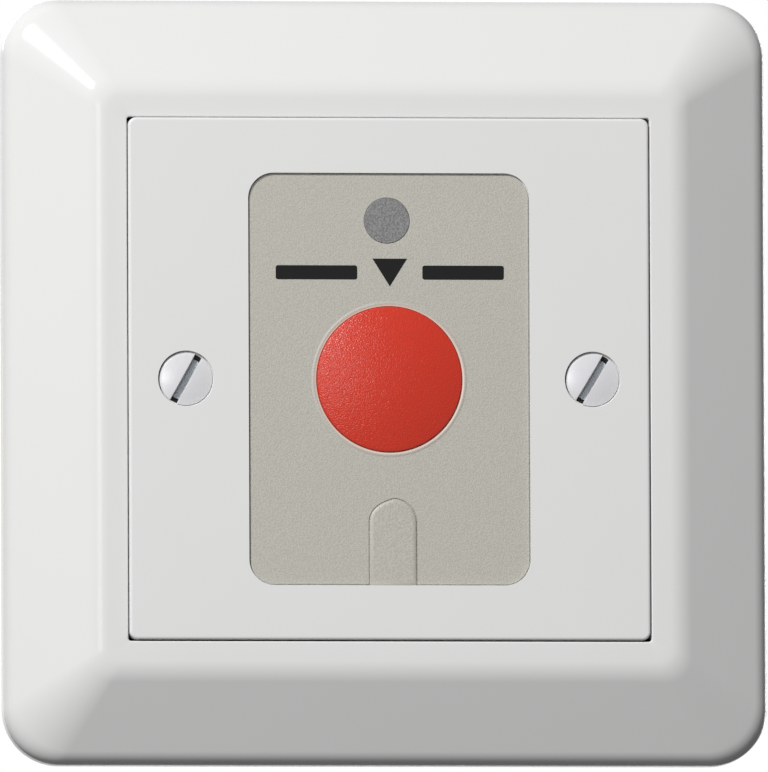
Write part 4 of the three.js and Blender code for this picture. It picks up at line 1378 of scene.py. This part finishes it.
class PUSHBUTTON_OT_stage(bpy.types.Operator):
    """Set up the camera, the soft lamps, the pale floor and the white background"""

    bl_idname = "push_button.stage"
    bl_label = "Stage"

    def execute(self, context):
        size = context.scene.push_button.stage
        self.camera(context.scene, size)
        lamps = (
            ("Key", (-0.47, -0.7, 0.54), 0.22, size.key_level),
            ("Sheen", (-0.32, -0.94, 0.1), 0.25, size.sheen_level),
            ("Back Left", (-0.45, 0.8, 0.4), 0.6, size.back_level),
            ("Back Right", (0.6, 0.75, 0.1), 0.6, size.back_level / 2),
        )
        for name, direction, side, level in lamps:
            panel_lamp(name, direction, side, level)
        self.room(context.scene, size)
        self.floor(context.scene, size)
        context.scene.view_settings.view_transform = "Standard"
        return {"FINISHED"}

    def camera(self, scene, size):
        back, right, up = camera_axes(size.azimuth, size.elevation)
        camera = bpy.data.objects.new("Camera", bpy.data.cameras.new("Camera"))
        scene.collection.objects.link(camera)
        picture_height = size.picture_width * IMAGE_HEIGHT / IMAGE_WIDTH
        camera.data.sensor_width = SENSOR
        camera.data.lens = SENSOR * size.distance / picture_height
        camera.data.clip_start = 0.01
        camera.data.clip_end = 100
        aim = right * size.shift_right - up * size.shift_down
        camera.location = aim + back * size.distance
        camera.rotation_mode = "QUATERNION"
        camera.rotation_quaternion = Quaternion(back, size.roll) @ back.to_track_quat("Z", "Y")
        scene.camera = camera

    def room(self, scene, size):
        """White to the camera and to reflections, and a low even light to everything else."""
        world = bpy.data.worlds.new("Room")
        scene.world = world
        tree = Tree(world)
        ray = tree.nodes.new("ShaderNodeLightPath")
        camera, glossy, transmitted = (
            Signal(tree, ray.outputs[name])
            for name in ("Is Camera Ray", "Is Glossy Ray", "Is Transmission Ray")
        )
        white = camera.largest(glossy, transmitted)
        background = tree.nodes["Background"]
        background.inputs["Color"].default_value = (1, 1, 1, 1)
        tree.put(background.inputs["Strength"], white * (1 - size.room_level) + size.room_level)

    def floor(self, scene, size):
        """Pale floor, seen from above only."""
        form = bmesh.new()
        corners = [
            form.verts.new((x * FLOOR_REACH, y * FLOOR_REACH, -size.floor_drop)) for x, y in CORNERS
        ]
        form.faces.new(corners)
        mesh = bpy.data.meshes.new("Floor")
        form.to_mesh(mesh)
        form.free()
        floor = bpy.data.objects.new("Floor", mesh)
        floor.visible_diffuse = False
        floor.visible_glossy = False
        scene.collection.objects.link(floor)
        look = Look("Floor", 0.1)
        clouds = look.noise(0.4)
        look.feed("Base Color", look.mixed(clouds, opaque(size.floor_color, 0.98), opaque(size.floor_color)))
        look.feed("Roughness", 0.8 + clouds * 0.1)
        backfacing = look.node("ShaderNodeNewGeometry", output="Backfacing")
        look.feed("Alpha", 1 - backfacing)
        mesh.materials.append(look.material)


# Registration


class PUSHBUTTON_PT_sidebar(bpy.types.Panel):
    """Lists the pieces of the push button"""

    bl_idname = "PUSHBUTTON_PT_sidebar"
    bl_label = "Signal Push Button"
    bl_space_type = "VIEW_3D"
    bl_region_type = "UI"
    bl_category = "Push Button"

    def draw(self, context):
        for operator in OPERATORS:
            self.layout.operator(operator.bl_idname)
        settings = context.scene.push_button
        for name, group in SETTINGS.items():
            box = self.layout.box()
            box.label(text=name.title())
            for setting in group.__annotations__:
                box.prop(getattr(settings, name), setting)


OPERATORS = (
    PUSHBUTTON_OT_stage,
    PUSHBUTTON_OT_surround,
    PUSHBUTTON_OT_plate,
    PUSHBUTTON_OT_label,
    PUSHBUTTON_OT_button,
    PUSHBUTTON_OT_window,
    PUSHBUTTON_OT_outlet,
    PUSHBUTTON_OT_cover_screws,
    PUSHBUTTON_OT_steel_plate,
    PUSHBUTTON_OT_module,
    PUSHBUTTON_OT_spring,
    PUSHBUTTON_OT_circuit,
)
CLASSES = (*SETTINGS.values(), PushButtonSettings, *OPERATORS, PUSHBUTTON_PT_sidebar)


def register():
    for item in CLASSES:
        bpy.utils.register_class(item)
    bpy.types.Scene.push_button = bpy.props.PointerProperty(type=PushButtonSettings)


def unregister():
    del bpy.types.Scene.push_button
    for item in reversed(CLASSES):
        bpy.utils.unregister_class(item)


def main():
    register()
    for operator in OPERATORS:
        group, name = operator.bl_idname.split(".")
        getattr(getattr(bpy.ops, group), name)()


if __name__ == "__main__":
    main()
